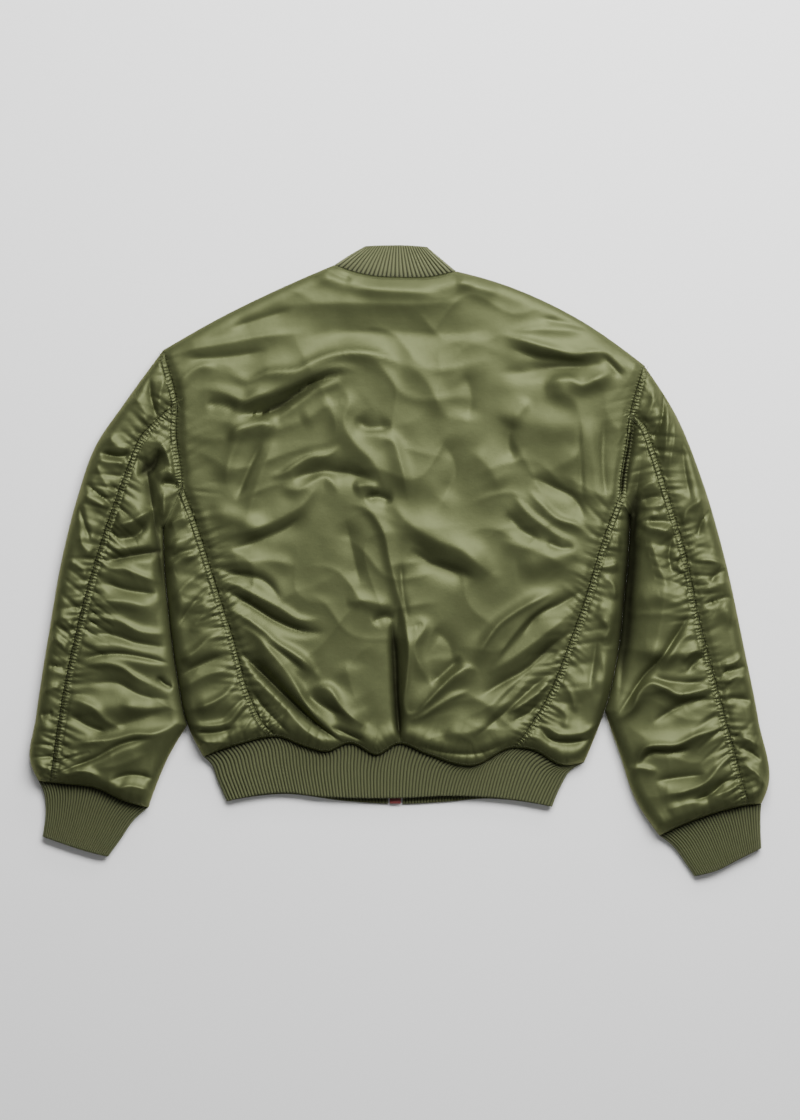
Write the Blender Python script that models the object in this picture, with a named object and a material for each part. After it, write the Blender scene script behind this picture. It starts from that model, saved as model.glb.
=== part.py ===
"""A padded flight jacket lying front down on a flat surface, its back up.

+X is to the right seen from above, +Y points to the collar and +Z up. The jacket rests on z = 0.
Lengths in the tables are millimetres in plan, turned into metres where the meshes are made.
"""
from collections import namedtuple

import bpy
import numpy as np

MM = 0.001
SAME_PLACE = 1e-6
SAME_CORNER = 0.01

# ---------------------------------------------------------------- driving sizes (mm)
SEAM_GAP = 0.36          # between two pieces at a seam
BAND_GAP = 0.6           # between a band and the cloth gathered onto it
SLEEVE_CLEARANCE = 1.2   # between the body's side fold and the sleeve that lies beside it
BODY_HEIGHT = 24.0       # two padded walls lying on each other
SLEEVE_EXTRA = 4.0       # a sleeve is fuller than the body
SHOULDER_LOSS = 4.0      # and the shoulders are thinner
FOLD_HEIGHT = 10.0       # height of the outline, where the top turns into the underside
SIDE_WALL = 8.5          # padded wall, measured across at the outline
BACK_INSIDE = 12.4       # height of the upper wall's inside
FRONT_INSIDE = 8.6       # height of the lower wall's inside
BACK_ROLL = 38.0         # how far in from the outline the upper wall rounds away
FRONT_ROLL = 15.0        # and the lower wall
RIB_TOP = 13.4           # the same heights where a wall meets a rib knit band
RIB_FOLD = 6.7
RIB_WALL = 4.6
RIB_BACK_INSIDE = 8.6
RIB_FRONT_INSIDE = 4.8
RIB_ROLL = 9.0
BLOUSE_REACH = 26.0      # the padded cloth falls to a band over this length
SEAM_DEPTH = 3.0         # a sewn seam is pulled in by this much
SEAM_REACH = 7.0
GATHER_HEIGHT = 1.3      # puckers along the double-stitched seams
GATHER_REACH = 16.0
RIB_GROOVE = 1.0         # depth of the grooves of the rib knit
BAND_EDGE_DROP = 1.2     # the free edge of a band is rounded off
CORNER_SOFTNESS = 1.5    # how far the inside's corners are eased
ZIP_X = -6.0             # centre line of the zip
ZIP_HALF_SLOT = 9.0      # from there to the front edges
ZIP_GAP = 0.3            # between the zip's pieces
COLLAR_HALF_SLOT = 1.5   # the collar's ends meet nearer, past the zip's top
TAPE_EDGE = 8.88         # from the centre line to a tape's sewn edge
TAPE_THICK = 0.7
CHAIN_HALF = 3.0
CHAIN_THICK = 1.8
ZIP_BOTTOM = -298.6      # the tapes and the chain start here
TAPE_TOP = 301.5         # and end near the neck
CHAIN_TOP = 296.6
ZIP_RISE = (-250.0, -220.0, -190.0)   # stations where its middle climbs
ZIP_LOW = 4.0            # height of the zip's middle in the waistband
ZIP_HIGH = 5.6           # and between the padded fronts
BOX_END = -312.4         # the bottom box reaches to here
BOX_HALF = 7.2
BOX_THICK = 3.6
SLIDER_Y = 290.0         # the pull's hinge, under the slider
PULL_HEIGHT = 2.2
PULL_THICK = 1.0
CENTRE = (-0.612, -0.915)    # middle of the outline in plan, which becomes the origin

# ---------------------------------------------------------------- outline and seams, in plan (mm)
SHOULDER = {
    "left": ((-84, 378), (-153, 348), (-229, 311), (-303, 269)),
    "right": ((72, 370), (129, 354), (231, 307), (312, 250)),
}
SLEEVE_OUTER = {
    "left": ((-303, 269), (-355, 198), (-390, 146), (-412, 84), (-432, 6), (-449, -90), (-466, -200),
             (-473, -260), (-463, -283)),
    "right": ((312, 250), (352, 188), (387, 102), (415, 6), (440, -109), (459, -205), (471, -292),
              (463, -312)),
}
ARMHOLE = {
    "left": ((-303, 269), (-293, 236), (-285, 202), (-286, 160), (-279, 112), (-278, 94)),
    "right": ((312, 250), (302, 218), (294, 188), (289, 150), (282, 106), (280, 80)),
}
UNDERARM = {
    "left": ((-278, 94), (-287, 74), (-295, 56), (-303, 40)),
    "right": ((280, 80), (284, 74), (289, 66), (294, 56)),
}
SLEEVE_SEAM = {
    "left": ((-285, 202), (-312, 179), (-333, 156), (-347, 122), (-374, 47), (-404, -52), (-432, -179),
             (-447, -285)),
    "right": ((294, 188), (312, 173), (325, 140), (341, 89), (364, 12), (383, -77), (413, -190),
              (446, -314)),
}
FRONT_SEAM = {
    "left": ((-279, 112), (-338, 40), (-382, -110), (-391, -292)),
    "right": ((282, 106), (341, 20), (392, -140), (411, -322)),
}
PRINCESS = {
    "left": ((-278, 94), (-259, 43), (-236, -30), (-212, -104), (-192, -173), (-172, -212), (-156, -227)),
    "right": ((280, 80), (257, 19), (239, -42), (216, -107), (188, -176), (166, -212), (145, -241)),
}
BODY_SIDE = {
    "left": ((-303, 40), (-301, -16), (-297, -60), (-285, -150), (-272, -211), (-252, -252)),
    "right": ((294, 56), (293, 10), (287, -50), (280, -115), (262, -193), (236, -259)),
}
SLEEVE_FREE = {          # the sleeve's inner edge, from where it leaves the body
    "left": ((-272, -211), (-292, -244), (-322, -317)),
    "right": ((262, -193), (280, -245), (303, -310), (332, -353)),
}
CUFF_SEAM = {
    "left": ((-463, -283), (-447, -285), (-430, -287), (-391, -292), (-350, -310), (-322, -317)),
    "right": ((463, -312), (446, -314), (411, -322), (368, -337), (332, -353)),
}
CUFF_OUTER = {
    "left": ((-463, -283), (-456, -299), (-454, -317), (-458, -354)),
    "right": ((463, -312), (462, -328), (462, -344), (463, -369)),
}
CUFF_INNER = {
    "left": ((-322, -317), (-339, -331), (-358, -358), (-374, -380)),
    "right": ((332, -353), (350, -367), (364, -386), (377, -405)),
}
CUFF_END = {
    "left": ((-458, -354), (-433, -363), (-395, -375), (-374, -380)),
    "right": ((463, -369), (433, -384), (405, -398), (377, -405)),
}
HEM_SEAM_BACK = ((-252, -252), (-205, -236), (-156, -227), (-120, -240), (-95, -246), (-64, -235),
                 (-29, -250), (-2, -236), (34, -249), (93, -264), (145, -241), (168, -243), (208, -263),
                 (236, -259))
HEM_SEAM_FRONT = ((-252, -252), (-156, -240), (-6, -243), (145, -246), (236, -259))
HEM_SIDE = {
    "left": ((-252, -252), (-243, -260), (-234, -282), (-222, -309)),
    "right": ((236, -259), (216, -271), (206, -289), (195, -316)),
}
HEM_EDGE_BACK = ((-222, -309), (-150, -298), (-99, -303), (-3, -305), (68, -302), (152, -308), (195, -316))
HEM_EDGE_FRONT = ((-222, -309), (-150, -300), (-70, -309), (-6, -313), (60, -310), (108, -306), (195, -316))
NECK_SEAM_BACK = ((-84, 378), (-62, 370), (-36, 364), (0, 362), (40, 363), (72, 370))
NECK_SEAM_FRONT = ((-84, 378), (-76, 350), (-50, 318), (-6, 303), (38, 315), (64, 344), (72, 370))
COLLAR_SIDE = {
    "left": ((-84, 378), (-69, 388), (-45, 402)),
    "right": ((72, 370), (55, 384), (35, 401)),
}
COLLAR_TOP_BACK = ((-45, 402), (-19, 403), (7, 403), (35, 401))
COLLAR_TOP_FRONT = ((-45, 402), (-36, 374), (-6, 352), (26, 374), (35, 401))

# ---------------------------------------------------------------- the largest folds
# path: plan points of the crest or trough; width: to each side; height: above (+) or below (-) the cloth
Fold = namedtuple("Fold", "path width height")
FOLDS = (
    # centre back
    Fold(((0, -40), (-4, -105), (-3, -170), (-2, -236)), 16, -6.5),
    Fold(((14, -70), (10, -140), (9, -215)), 17, 5.5),
    Fold(((6, 48), (62, 29), (112, -21)), 22, 5.0),
    Fold(((6, 32), (50, -3), (84, -30)), 18, -3.0),
    Fold(((-60, 160), (-10, 120), (60, 90)), 30, 3.5),
    # upper back
    Fold(((-196, 231), (-131, 244), (-60, 265), (-6, 251)), 15, 5.0),
    Fold(((-258, 214), (-205, 204), (-131, 231), (-45, 237)), 14, 4.5),
    Fold(((-205, 182), (-141, 203), (-99, 232), (-67, 237)), 13, -4.0),
    Fold(((-216, 152), (-205, 167), (-156, 171)), 14, 4.5),
    Fold(((-120, 291), (0, 292), (90, 286)), 26, -3.5),
    Fold(((134, 285), (207, 268), (250, 267), (275, 261)), 14, 4.5),
    Fold(((184, 218), (229, 225), (275, 241)), 14, 4.5),
    Fold(((150, 250), (200, 246), (262, 252)), 12, -3.5),
    Fold(((120, 190), (180, 170), (240, 175)), 22, 3.0),
    # lower back, fanning out from the princess seams
    Fold(((-190, -104), (-161, -140), (-131, -173), (-79, -222)), 11, 5.5),
    Fold(((-202, -115), (-161, -152), (-131, -187), (-79, -231)), 9, -4.5),
    Fold(((-183, -102), (-145, -121), (-111, -145)), 13, 5.0),
    Fold(((-111, -164), (-79, -180), (-45, -211)), 13, 5.0),
    Fold(((-222, 10), (-180, -20), (-150, -60)), 16, 4.0),
    Fold(((-244, 60), (-205, 52), (-170, 30)), 13, 4.0),
    Fold(((209, -40), (159, -65), (100, -118), (74, -140)), 14, 5.5),
    Fold(((213, -107), (172, -139), (120, -190)), 13, -5.0),
    Fold(((100, -139), (50, -163), (20, -199)), 13, 5.0),
    Fold(((230, 20), (190, 0), (150, -10)), 15, 4.0),
    Fold(((175, -150), (120, -200), (60, -235)), 15, 4.5),
    # side backs
    Fold(((-292, 20), (-262, 5)), 10, 3.5),
    Fold(((-290, -60), (-240, -50)), 12, 4.0),
    Fold(((-280, -130), (-226, -110)), 12, 4.0),
    Fold(((-262, -190), (-205, -180)), 13, 4.5),
    Fold(((284, 20), (262, 20)), 10, 3.5),
    Fold(((282, -70), (250, -60)), 12, 3.5),
    Fold(((262, -150), (215, -170)), 13, 4.0),
    Fold(((240, -215), (190, -225)), 12, 4.0),
    # left sleeve
    Fold(((-346, 139), (-326, 122), (-302, 105)), 12, -5.0),
    Fold(((-333, 112), (-282, 107)), 9, 4.0),
    Fold(((-368, 43), (-335, 55), (-321, 67)), 13, 5.0),
    Fold(((-382, -2), (-343, 6), (-304, 12)), 10, -4.0),
    Fold(((-408, 98), (-363, 69)), 11, 4.0),
    Fold(((-413, 82), (-394, 17)), 11, 4.0),
    Fold(((-410, -115), (-355, -123), (-290, -136)), 13, 5.0),
    Fold(((-397, -69), (-373, -57), (-310, -70)), 12, 4.0),
    Fold(((-425, -266), (-381, -251), (-330, -233), (-277, -212)), 14, 5.5),
    Fold(((-430, -180), (-380, -190), (-320, -175)), 13, 4.5),
    Fold(((-400, -225), (-340, -205), (-290, -190)), 10, -3.5),
    # right sleeve
    Fold(((272, -202), (294, -182), (327, -161), (373, -173), (400, -161)), 13, 5.5),
    Fold(((294, -259), (317, -236), (358, -231), (413, -213)), 13, 5.0),
    Fold(((330, 195), (340, 150)), 11, 4.0),
    Fold(((300, 20), (330, 40), (352, 30)), 12, 4.5),
    Fold(((296, -60), (335, -45), (372, -60)), 13, 4.5),
    Fold(((300, -110), (340, -120), (392, -105)), 12, 4.0),
    Fold(((375, 90), (392, 40)), 11, 3.5),
    Fold(((330, -300), (385, -285), (430, -270)), 12, 4.5),
    Fold(((405, -60), (430, -75)), 12, 3.5),
)


# ---------------------------------------------------------------- curves in plan
def smooth(points, step=6.0):
    """A smooth polyline through the given points, with about one vertex every step."""
    points = np.array(points, float)
    length = np.r_[0, np.cumsum(np.linalg.norm(np.diff(points, axis=0), axis=1))]
    if len(points) == 2:
        slopes = np.repeat((points[1:] - points[:1]) / length[-1], 2, axis=0)
    else:
        pieces = np.diff(points, axis=0) / np.diff(length)[:, None]
        gaps = np.diff(length)
        weighted = pieces[:-1] * gaps[1:, None] + pieces[1:] * gaps[:-1, None]
        middle = weighted / (gaps[1:] + gaps[:-1])[:, None]
        first = 1.5 * pieces[:1] - 0.5 * middle[:1]
        last = 1.5 * pieces[-1:] - 0.5 * middle[-1:]
        slopes = np.vstack([first, middle, last])
    out = []
    for i in range(len(points) - 1):
        span = length[i + 1] - length[i]
        count = max(2, int(round(span / step)))
        t = (np.arange(count) / count)[:, None]
        out.append((2 * t**3 - 3 * t**2 + 1) * points[i] + (t**3 - 2 * t**2 + t) * span * slopes[i]
                   + (3 * t**2 - 2 * t**3) * points[i + 1] + (t**3 - t**2) * span * slopes[i + 1])
    out.append(points[-1:])
    return np.vstack(out)


def sample(line, fractions):
    """Points of a polyline at fractions of its length."""
    length = np.r_[0, np.cumsum(np.linalg.norm(np.diff(line, axis=0), axis=1))]
    fractions = np.asarray(fractions) * length[-1]
    return np.column_stack([np.interp(fractions, length, line[:, k]) for k in (0, 1)])


def nearest(points, lines):
    """Distance to the nearest of some polylines, and the unit direction away, eased round their corners."""
    start = np.vstack([line[:-1] for line in lines])
    run = np.vstack([np.diff(line, axis=0) for line in lines])
    size = (run**2).sum(1)
    best = np.empty(len(points))
    away = np.empty((len(points), 2))
    for first in range(0, len(points), 4096):
        block = points[first:first + 4096]
        offset = block[:, None] - start[None]
        t = np.clip((offset * run).sum(2) / size, 0, 1)
        offset = offset - t[..., None] * run
        distance = np.maximum(np.sqrt((offset**2).sum(2)), 1e-6)
        least = distance.min(1)
        weight = np.exp(-(distance - least[:, None]) / CORNER_SOFTNESS) / distance
        direction = (offset * weight[..., None]).sum(1)
        best[first:first + 4096] = least
        away[first:first + 4096] = direction / np.maximum(np.linalg.norm(direction, axis=1), 1e-9)[:, None]
    return best, away


def smoothstep(low, high, value):
    t = np.clip((value - low) / (high - low), 0, 1)
    return t * t * (3 - 2 * t)


def swell(share):
    """A quarter ellipse: 0 at the edge, where it is upright, and 1 at full height."""
    return np.sqrt(1 - (1 - np.clip(share, 0, 1))**2)


def split(line, point):
    """A polyline cut at the place nearest to a point."""
    run = np.diff(line, axis=0)
    t = np.clip(((point - line[:-1]) * run).sum(1) / (run**2).sum(1), 0, 1)
    near = line[:-1] + t[:, None] * run
    i = int(((near - point)**2).sum(1).argmin())
    cut = near[i]
    first = [p for p in line[:i + 1] if np.linalg.norm(p - cut) > 0.001]
    second = [p for p in line[i + 1:] if np.linalg.norm(p - cut) > 0.001]
    return np.array(first + [cut]), np.array([cut] + second)


def chain(*lines):
    """Polylines joined end to end."""
    return np.vstack([lines[0]] + [line[1:] for line in lines[1:]])


def sleeve_inner(side):
    """The sleeve's inner edge: along the body's side, then free."""
    beside, _ = split(smooth(BODY_SIDE[side]), np.array(SLEEVE_FREE[side][0], float))
    return chain(beside, smooth(SLEEVE_FREE[side]))


SIDES = ("left", "right")
OUTLINE = [smooth(table[side]) for side in SIDES for table in (
    SHOULDER, SLEEVE_OUTER, BODY_SIDE, SLEEVE_FREE, CUFF_OUTER, CUFF_INNER, HEM_SIDE, COLLAR_SIDE)]
BAND_SEAMS = {
    "back": [smooth(HEM_SEAM_BACK), smooth(NECK_SEAM_BACK)] + [smooth(CUFF_SEAM[side]) for side in SIDES],
    "front": [smooth(HEM_SEAM_FRONT), smooth(NECK_SEAM_FRONT)] + [smooth(CUFF_SEAM[side]) for side in SIDES],
}
SEWN = [smooth(table[side]) for table in (ARMHOLE, UNDERARM, SLEEVE_SEAM, PRINCESS) for side in SIDES]
GATHERED = [smooth(table[side]) for table in (SLEEVE_SEAM, PRINCESS) for side in SIDES]


def corner_inward(above, below, seam):
    """The way in from the corner where a band's side meets the outline above it."""
    total = np.zeros(2)
    for run in (above[-1] - above[-2], below[1] - below[0]):
        normal = np.array([-run[1], run[0]]) / np.linalg.norm(run)
        total += normal * np.sign(np.dot(normal, seam[len(seam) // 2] - below[0]))
    return total / np.linalg.norm(total)


def band_corners():
    """Each corner of a band, and the way in from it."""
    corners = []
    for side in SIDES:
        for above, below, seam in (
                (smooth(SHOULDER[side])[::-1], COLLAR_SIDE, NECK_SEAM_BACK),
                (smooth(BODY_SIDE[side]), HEM_SIDE, HEM_SEAM_BACK),
                (smooth(SLEEVE_OUTER[side]), CUFF_OUTER, CUFF_SEAM[side]),
                (smooth(SLEEVE_FREE[side]), CUFF_INNER, CUFF_SEAM[side])):
            band_side = smooth(below[side])
            corners.append((band_side[0], corner_inward(above, band_side, smooth(seam))))
    return corners


CORNERS = band_corners()


# ---------------------------------------------------------------- the padded cloth over the plan
Layer = namedtuple("Layer", "outer inner shift")


def mix(first, second, share):
    return first + (second - first) * share


def folds(points):
    """Height that the large folds add, each tapering towards its ends."""
    total = np.zeros(len(points))
    for fold in FOLDS:
        line = smooth(fold.path, 12.0)
        distance, _ = nearest(points, [line])
        total += fold.height * np.exp(-(distance / fold.width)**2)
    return total


def layer(points, inward, side, at_outline, is_band):
    """A wall over plan points: its outer and inner height and the inside's shift from the outline.

    Also how far the padding is full there, 0 at a band, and how far the wall has risen from the outline.
    """
    edge, away = nearest(points + inward, OUTLINE)
    edge = np.where(at_outline, 0, edge)
    for corner, inwards in CORNERS:
        away[np.linalg.norm(points - corner, axis=1) < SAME_CORNER] = inwards
    if is_band:
        full = np.zeros(len(points))
    else:
        full = swell(nearest(points, BAND_SEAMS[side])[0] / BLOUSE_REACH)
    fold = mix(RIB_FOLD, FOLD_HEIGHT, full)
    wall = mix(RIB_WALL, SIDE_WALL, full)
    x, y = np.abs(points[:, 0]), points[:, 1]
    if side == "back":
        height = BODY_HEIGHT + SLEEVE_EXTRA * smoothstep(285, 345, x)
        height -= SHOULDER_LOSS * smoothstep(230, 340, y)
        roll = mix(RIB_ROLL, BACK_ROLL, full)
        turn = np.arccos(1 - np.clip(edge / roll, 0, 1))
        outer = fold + (mix(RIB_TOP, height, full) - fold) * np.sin(turn)
        inner = fold + (mix(RIB_BACK_INSIDE, BACK_INSIDE, full) - fold) * np.sin(turn)
    else:
        roll = mix(RIB_ROLL, FRONT_ROLL, full)
        turn = np.arccos(1 - np.clip(edge / roll, 0, 1))
        outer = fold * (1 - np.sin(turn))
        inner = fold - (fold - mix(RIB_FRONT_INSIDE, FRONT_INSIDE, full)) * np.sin(turn)
    return Layer(outer, inner, away * (wall * np.cos(turn))[:, None]), full, np.sin(turn)


def relief(points, full, rise, gather):
    """What the folds, the sewn seams and the gathers along them add to the upper wall."""
    seam, _ = nearest(points, SEWN)
    gathered, _ = nearest(points, GATHERED)
    clear = smoothstep(0, 14, seam)
    puckers = gather * GATHER_HEIGHT * np.exp(-(gathered / GATHER_REACH)**2)
    return full * rise**2 * (folds(points) * clear + puckers - SEAM_DEPTH * np.exp(-(seam / SEAM_REACH)**2))


# ---------------------------------------------------------------- a piece's plan, and its wall
SEAM, BAND_SEAM, OUTLINE_EDGE, CONTACT_EDGE = "seam", "band seam", "outline", "contact"
INSET = {SEAM: SEAM_GAP / 2, BAND_SEAM: BAND_GAP - SEAM_GAP / 2, OUTLINE_EDGE: 0.0,
         CONTACT_EDGE: SLEEVE_CLEARANCE / 2}


def inset_loop(loop, insets):
    """Move a closed anticlockwise loop inwards, each edge by its own inset."""
    edge = np.roll(loop, -1, axis=0) - loop
    length = np.maximum(np.linalg.norm(edge, axis=1), 1e-9)
    normal = np.column_stack([-edge[:, 1], edge[:, 0]]) / length[:, None]
    before, after = np.roll(normal, 1, axis=0), normal
    inset_before, inset_after = np.roll(insets, 1), insets
    cross = before[:, 0] * after[:, 1] - before[:, 1] * after[:, 0]
    straight = np.abs(cross) < 0.08
    safe = np.where(straight, 1, cross)
    x = (inset_before * after[:, 1] - inset_after * before[:, 1]) / safe
    y = (inset_after * before[:, 0] - inset_before * after[:, 0]) / safe
    flat = (before + after) / 2 * np.maximum(inset_before, inset_after)[:, None]
    return loop + np.where(straight[:, None], flat, np.column_stack([x, y]))


Plan = namedtuple("Plan", "cut drawn")     # grids of plan points: with the seam gaps, and without


def share_along(line):
    """Each vertex of a line as a share of its length."""
    length = np.r_[0, np.cumsum(np.linalg.norm(np.diff(line, axis=0), axis=1))]
    return length / length[-1]


def between(bottom, right, top, left, u, v):
    """A grid of points between four lines that meet at their ends."""
    corners = (bottom[0] * (1 - u) + bottom[-1] * u) * (1 - v) + (top[0] * (1 - u) + top[-1] * u) * v
    return bottom[None] * (1 - v) + top[None] * v + left[:, None] * (1 - u) + right[:, None] * u - corners


def plan_grid(bottom, right, top, left, edges):
    """Grid of plan points between four sampled curves. bottom and top run one way, left and right up.

    edges names the kind of each side: bottom, right, top, left.
    """
    loop = np.vstack([bottom[:-1], right[:-1], top[::-1][:-1], left[::-1][:-1]])
    kinds = [[kind] * (len(line) - 1) if isinstance(kind, str) else kind
             for line, kind in zip((bottom, right, top, left), edges)]
    insets = np.array([INSET[kind] for kind in kinds[0] + kinds[1] + kinds[2][::-1] + kinds[3][::-1]])
    area = (loop[:, 0] * np.roll(loop[:, 1], -1) - loop[:, 1] * np.roll(loop[:, 0], -1)).sum()
    if area > 0:
        loop = inset_loop(loop, insets)
    else:
        loop = inset_loop(loop[::-1], np.roll(insets[::-1], -1))[::-1]
    a, b, c = len(bottom) - 1, len(right) - 1, len(top) - 1
    loop = np.vstack([loop, loop[:1]])
    v = ((share_along(left) + share_along(right)) / 2)[:, None]
    u = share_along(bottom)[None] * (1 - v) + share_along(top)[None] * v
    inset = (loop[:a + 1], loop[a:a + b + 1], loop[a + b:a + b + c + 1][::-1], loop[a + b + c:][::-1])
    return Plan(between(*inset, u[..., None], v[..., None]),
                between(bottom, right, top, left, u[..., None], v[..., None]))


class Solid:
    """Collects vertices and faces of one closed piece."""

    def __init__(self):
        self.points = []
        self.faces = []

    def add(self, points):
        first = len(self.points)
        self.points.extend(points)
        return list(range(first, len(self.points)))

    def grid(self, rows, flip):
        for low, high in zip(rows[:-1], rows[1:]):
            for j in range(len(low) - 1):
                face = (low[j], low[j + 1], high[j + 1], high[j])
                self.faces.append(face[::-1] if flip else face)

    def strip(self, fine, coarse, fine_place, coarse_place, flip):
        """Fill between a fine line of vertices and a coarse one beside it, in step with their places.

        Where both step at once, the shorter diagonal is taken, so that two pieces agree at their seam.
        """
        i = j = 0
        while i < len(fine) - 1 or j < len(coarse) - 1:
            fine_next = (fine_place[i] + fine_place[i + 1]) / 2 if i < len(fine) - 1 else np.inf
            coarse_next = (coarse_place[j] + coarse_place[j + 1]) / 2 if j < len(coarse) - 1 else np.inf
            fine_first = fine_next < coarse_next
            if abs(fine_next - coarse_next) < SAME_PLACE:
                fine_first = self.distance(fine[i + 1], coarse[j]) < self.distance(fine[i], coarse[j + 1])
            if fine_first:
                face = (fine[i], fine[i + 1], coarse[j])
                i += 1
            else:
                face = (fine[i], coarse[j + 1], coarse[j])
                j += 1
            self.faces.append(face[::-1] if flip else face)

    def distance(self, first, second):
        return np.linalg.norm(self.points[first] - self.points[second])

    def turn_outwards(self):
        """Reverse every face if the closed surface encloses a negative volume."""
        points = np.array(self.points)
        volume = 0.0
        for face in self.faces:
            for second, third in zip(face[1:-1], face[2:]):
                volume += np.dot(points[face[0]], np.cross(points[second], points[third]))
        if volume < 0:
            self.faces = [face[::-1] for face in self.faces]

    def build(self, name, colour, roughness):
        self.turn_outwards()
        mesh = bpy.data.meshes.new(name)
        shift = np.array([*CENTRE, 0.0])
        mesh.from_pydata([tuple((point - shift) * MM) for point in self.points], [], self.faces)
        mesh.validate()
        piece = bpy.data.objects.new(name, mesh)
        bpy.context.collection.objects.link(piece)
        material = bpy.data.materials.new(name)
        material.use_nodes = True
        shader = material.node_tree.nodes["Principled BSDF"]
        shader.inputs["Base Color"].default_value = (*colour, 1)
        shader.inputs["Roughness"].default_value = roughness
        mesh.materials.append(material)
        return piece


# ---------------------------------------------------------------- walls
NYLON, RIB_KNIT, ZIP_TAPE, ZIP_METAL, ZIP_END = (
    ((0.145, 0.165, 0.070), 0.42), ((0.120, 0.130, 0.060), 0.85), ((0.060, 0.065, 0.030), 0.80),
    ((0.55, 0.52, 0.45), 0.35), ((0.18, 0.03, 0.03), 0.55))


def nudge(plan, on_outline):
    """A short step from each outline vertex into its piece, which tells the piece's side of the outline."""
    step = np.zeros(plan.shape)
    rows, columns = plan.shape[:2]
    for i, j in zip(*np.nonzero(on_outline)):
        for a, b in ((0, 1), (0, -1), (-1, 0), (1, 0), (-1, 1), (-1, -1), (1, 1), (1, -1)):
            inside = 0 <= i + a < rows and 0 <= j + b < columns and not on_outline[i + a, j + b]
            if inside:
                run = plan[i + a, j + b] - plan[i, j]
                step[i, j] = run / np.linalg.norm(run)
                break
    return step


def sheet(plan, side, on_outline, gather=0.0, ribbed=None, under_seam=False):
    """Outer and inner points (rows, columns, 3) of a wall over a grid of plan points.

    under_seam lowers a piece that ends under the outline's seam by the seam's gap.
    """
    rows, columns = plan.cut.shape[:2]
    points = plan.drawn.reshape(-1, 2)
    cut = plan.cut.reshape(-1, 2)
    inward = nudge(plan.drawn, on_outline).reshape(-1, 2)
    height, full, rise = layer(points, inward, side, on_outline.ravel(), ribbed is not None)
    outer, inner = height.outer.copy(), height.inner.copy()
    if ribbed is not None:
        outer = outer + ribbed.ravel() * rise
    elif side == "back":
        outer = outer + relief(points, full, rise, np.broadcast_to(gather, (rows, columns)).ravel())
    drop = SEAM_GAP * np.sqrt(1 - rise**2) if under_seam else 0.0
    outer_points = np.column_stack([cut, np.maximum(outer - drop, 0)]).reshape(rows, columns, 3)
    inner_points = np.column_stack([cut + height.shift, inner - drop]).reshape(rows, columns, 3)
    return outer_points, inner_points


def wall(name, outer, inner, places, finish, closed=False):
    """A closed wall: a fine outside, a plainer inside and the edges between them.

    places gives where the outer rows, inner rows, outer columns and inner columns lie.
    """
    outer_rows, inner_rows, outer_columns, inner_columns = places
    solid = Solid()
    outside = [solid.add(row) for row in outer]
    inside = [solid.add(row) for row in inner]
    if closed:
        outside = [row + row[:1] for row in outside]
        inside = [row + row[:1] for row in inside]
        outer_columns, inner_columns = np.r_[outer_columns, 2], np.r_[inner_columns, 2]
    solid.grid(outside, False)
    solid.grid(inside, True)
    solid.strip(outside[0], inside[0], outer_columns, inner_columns, True)
    solid.strip(outside[-1], inside[-1], outer_columns, inner_columns, False)
    if not closed:
        solid.strip([row[0] for row in outside], [row[0] for row in inside], outer_rows, inner_rows, False)
        solid.strip([row[-1] for row in outside], [row[-1] for row in inside], outer_rows, inner_rows, True)
    return solid.build(name, *finish)


def thinned(name, outer, inner, rows, finish):
    """A wall whose inside keeps only some of the rows."""
    columns = range(outer.shape[1])
    wall(name, outer, inner[rows], (range(outer.shape[0]), rows, columns, columns), finish)


def every(count, step, keep=()):
    """Indices 0..count, one in every step, with the ends and the ones to keep."""
    return sorted(set(range(0, count, step)) | {count} | set(keep))


# ---------------------------------------------------------------- stations shared by the pieces
def stations(*marks):
    """Fractions along a curve from runs of (start, end, intervals)."""
    out = [0.0]
    for start, end, count in marks:
        out += list(np.linspace(start, end, count + 1)[1:])
    return np.array(out)


PRINCESS_ROWS = stations((0, 0.008, 1), (0.008, 0.03, 1), (0.03, 0.06, 1), (0.06, 1, 25))
JUNCTION_TO_TIP = np.array([0, 0.32, 0.58, 0.80, 0.94, 1])
APEX_TO_JUNCTION = stations((0, 1, 8))
APEX_TO_UNDERARM = np.array([0, 0.3, 0.58, 0.80, 0.94, 1])
SLEEVE_ROWS = stations((0, 0.94, 37), (0.94, 0.97, 1), (0.97, 0.992, 1), (0.992, 1, 1))
BACK_SHOULDER = stations((0, 0.9, 9), (0.9, 0.97, 1), (0.97, 1, 1))
BACK_NECK = stations((0, 0.015, 1), (0.015, 0.05, 1), (0.05, 0.95, 6), (0.95, 0.985, 1), (0.985, 1, 1))
SIDE_BACK_HEM = np.array([0, 0.03, 0.12, 0.32, 0.64, 1])
FRONT_SHOULDER = [0, 3, 6, 9, 10, 11]
FRONT_SIDE = [0, 1, 2, 3, 6, 12, 18, 24, 27, 28]
UNDER_CUFF = np.array([0, 0.13, 0.27, 0.42, 0.58, 0.74, 0.88, 0.965, 1])
UPPER_CUFF = stations((0, 1, 5))
UNDERSIDE_TIP = np.array([0, 0.04, 0.14, 0.4, 0.7, 1])
UNDERSIDE_ARMHOLE = stations((0, 1, 4))
UNDERSIDE_OUTER_CUFF = np.array([0, 0.05, 0.17, 0.45, 0.7, 1])
UNDERSIDE_INNER_CUFF = np.array([0, 0.05, 0.18, 0.5, 1])
SLEEVE_INNER = stations((0, 0.94, len(SLEEVE_ROWS) - len(APEX_TO_UNDERARM) - 3), (0.94, 0.97, 1),
                        (0.97, 0.992, 1), (0.992, 1, 1))
FRONT_HEM = np.array([0, 0.02, 0.07, 0.15, 0.25, 0.36, 0.48, 0.6, 0.72, 0.84, 0.95, 1])
FRONT_NECK = stations((0, 0.02, 1), (0.02, 0.08, 1), (0.08, 1, 4))
BAND_ROWS = np.array([0, 0.5, 0.93, 1])
APEX_ROW = len(PRINCESS_ROWS) - 1
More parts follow.
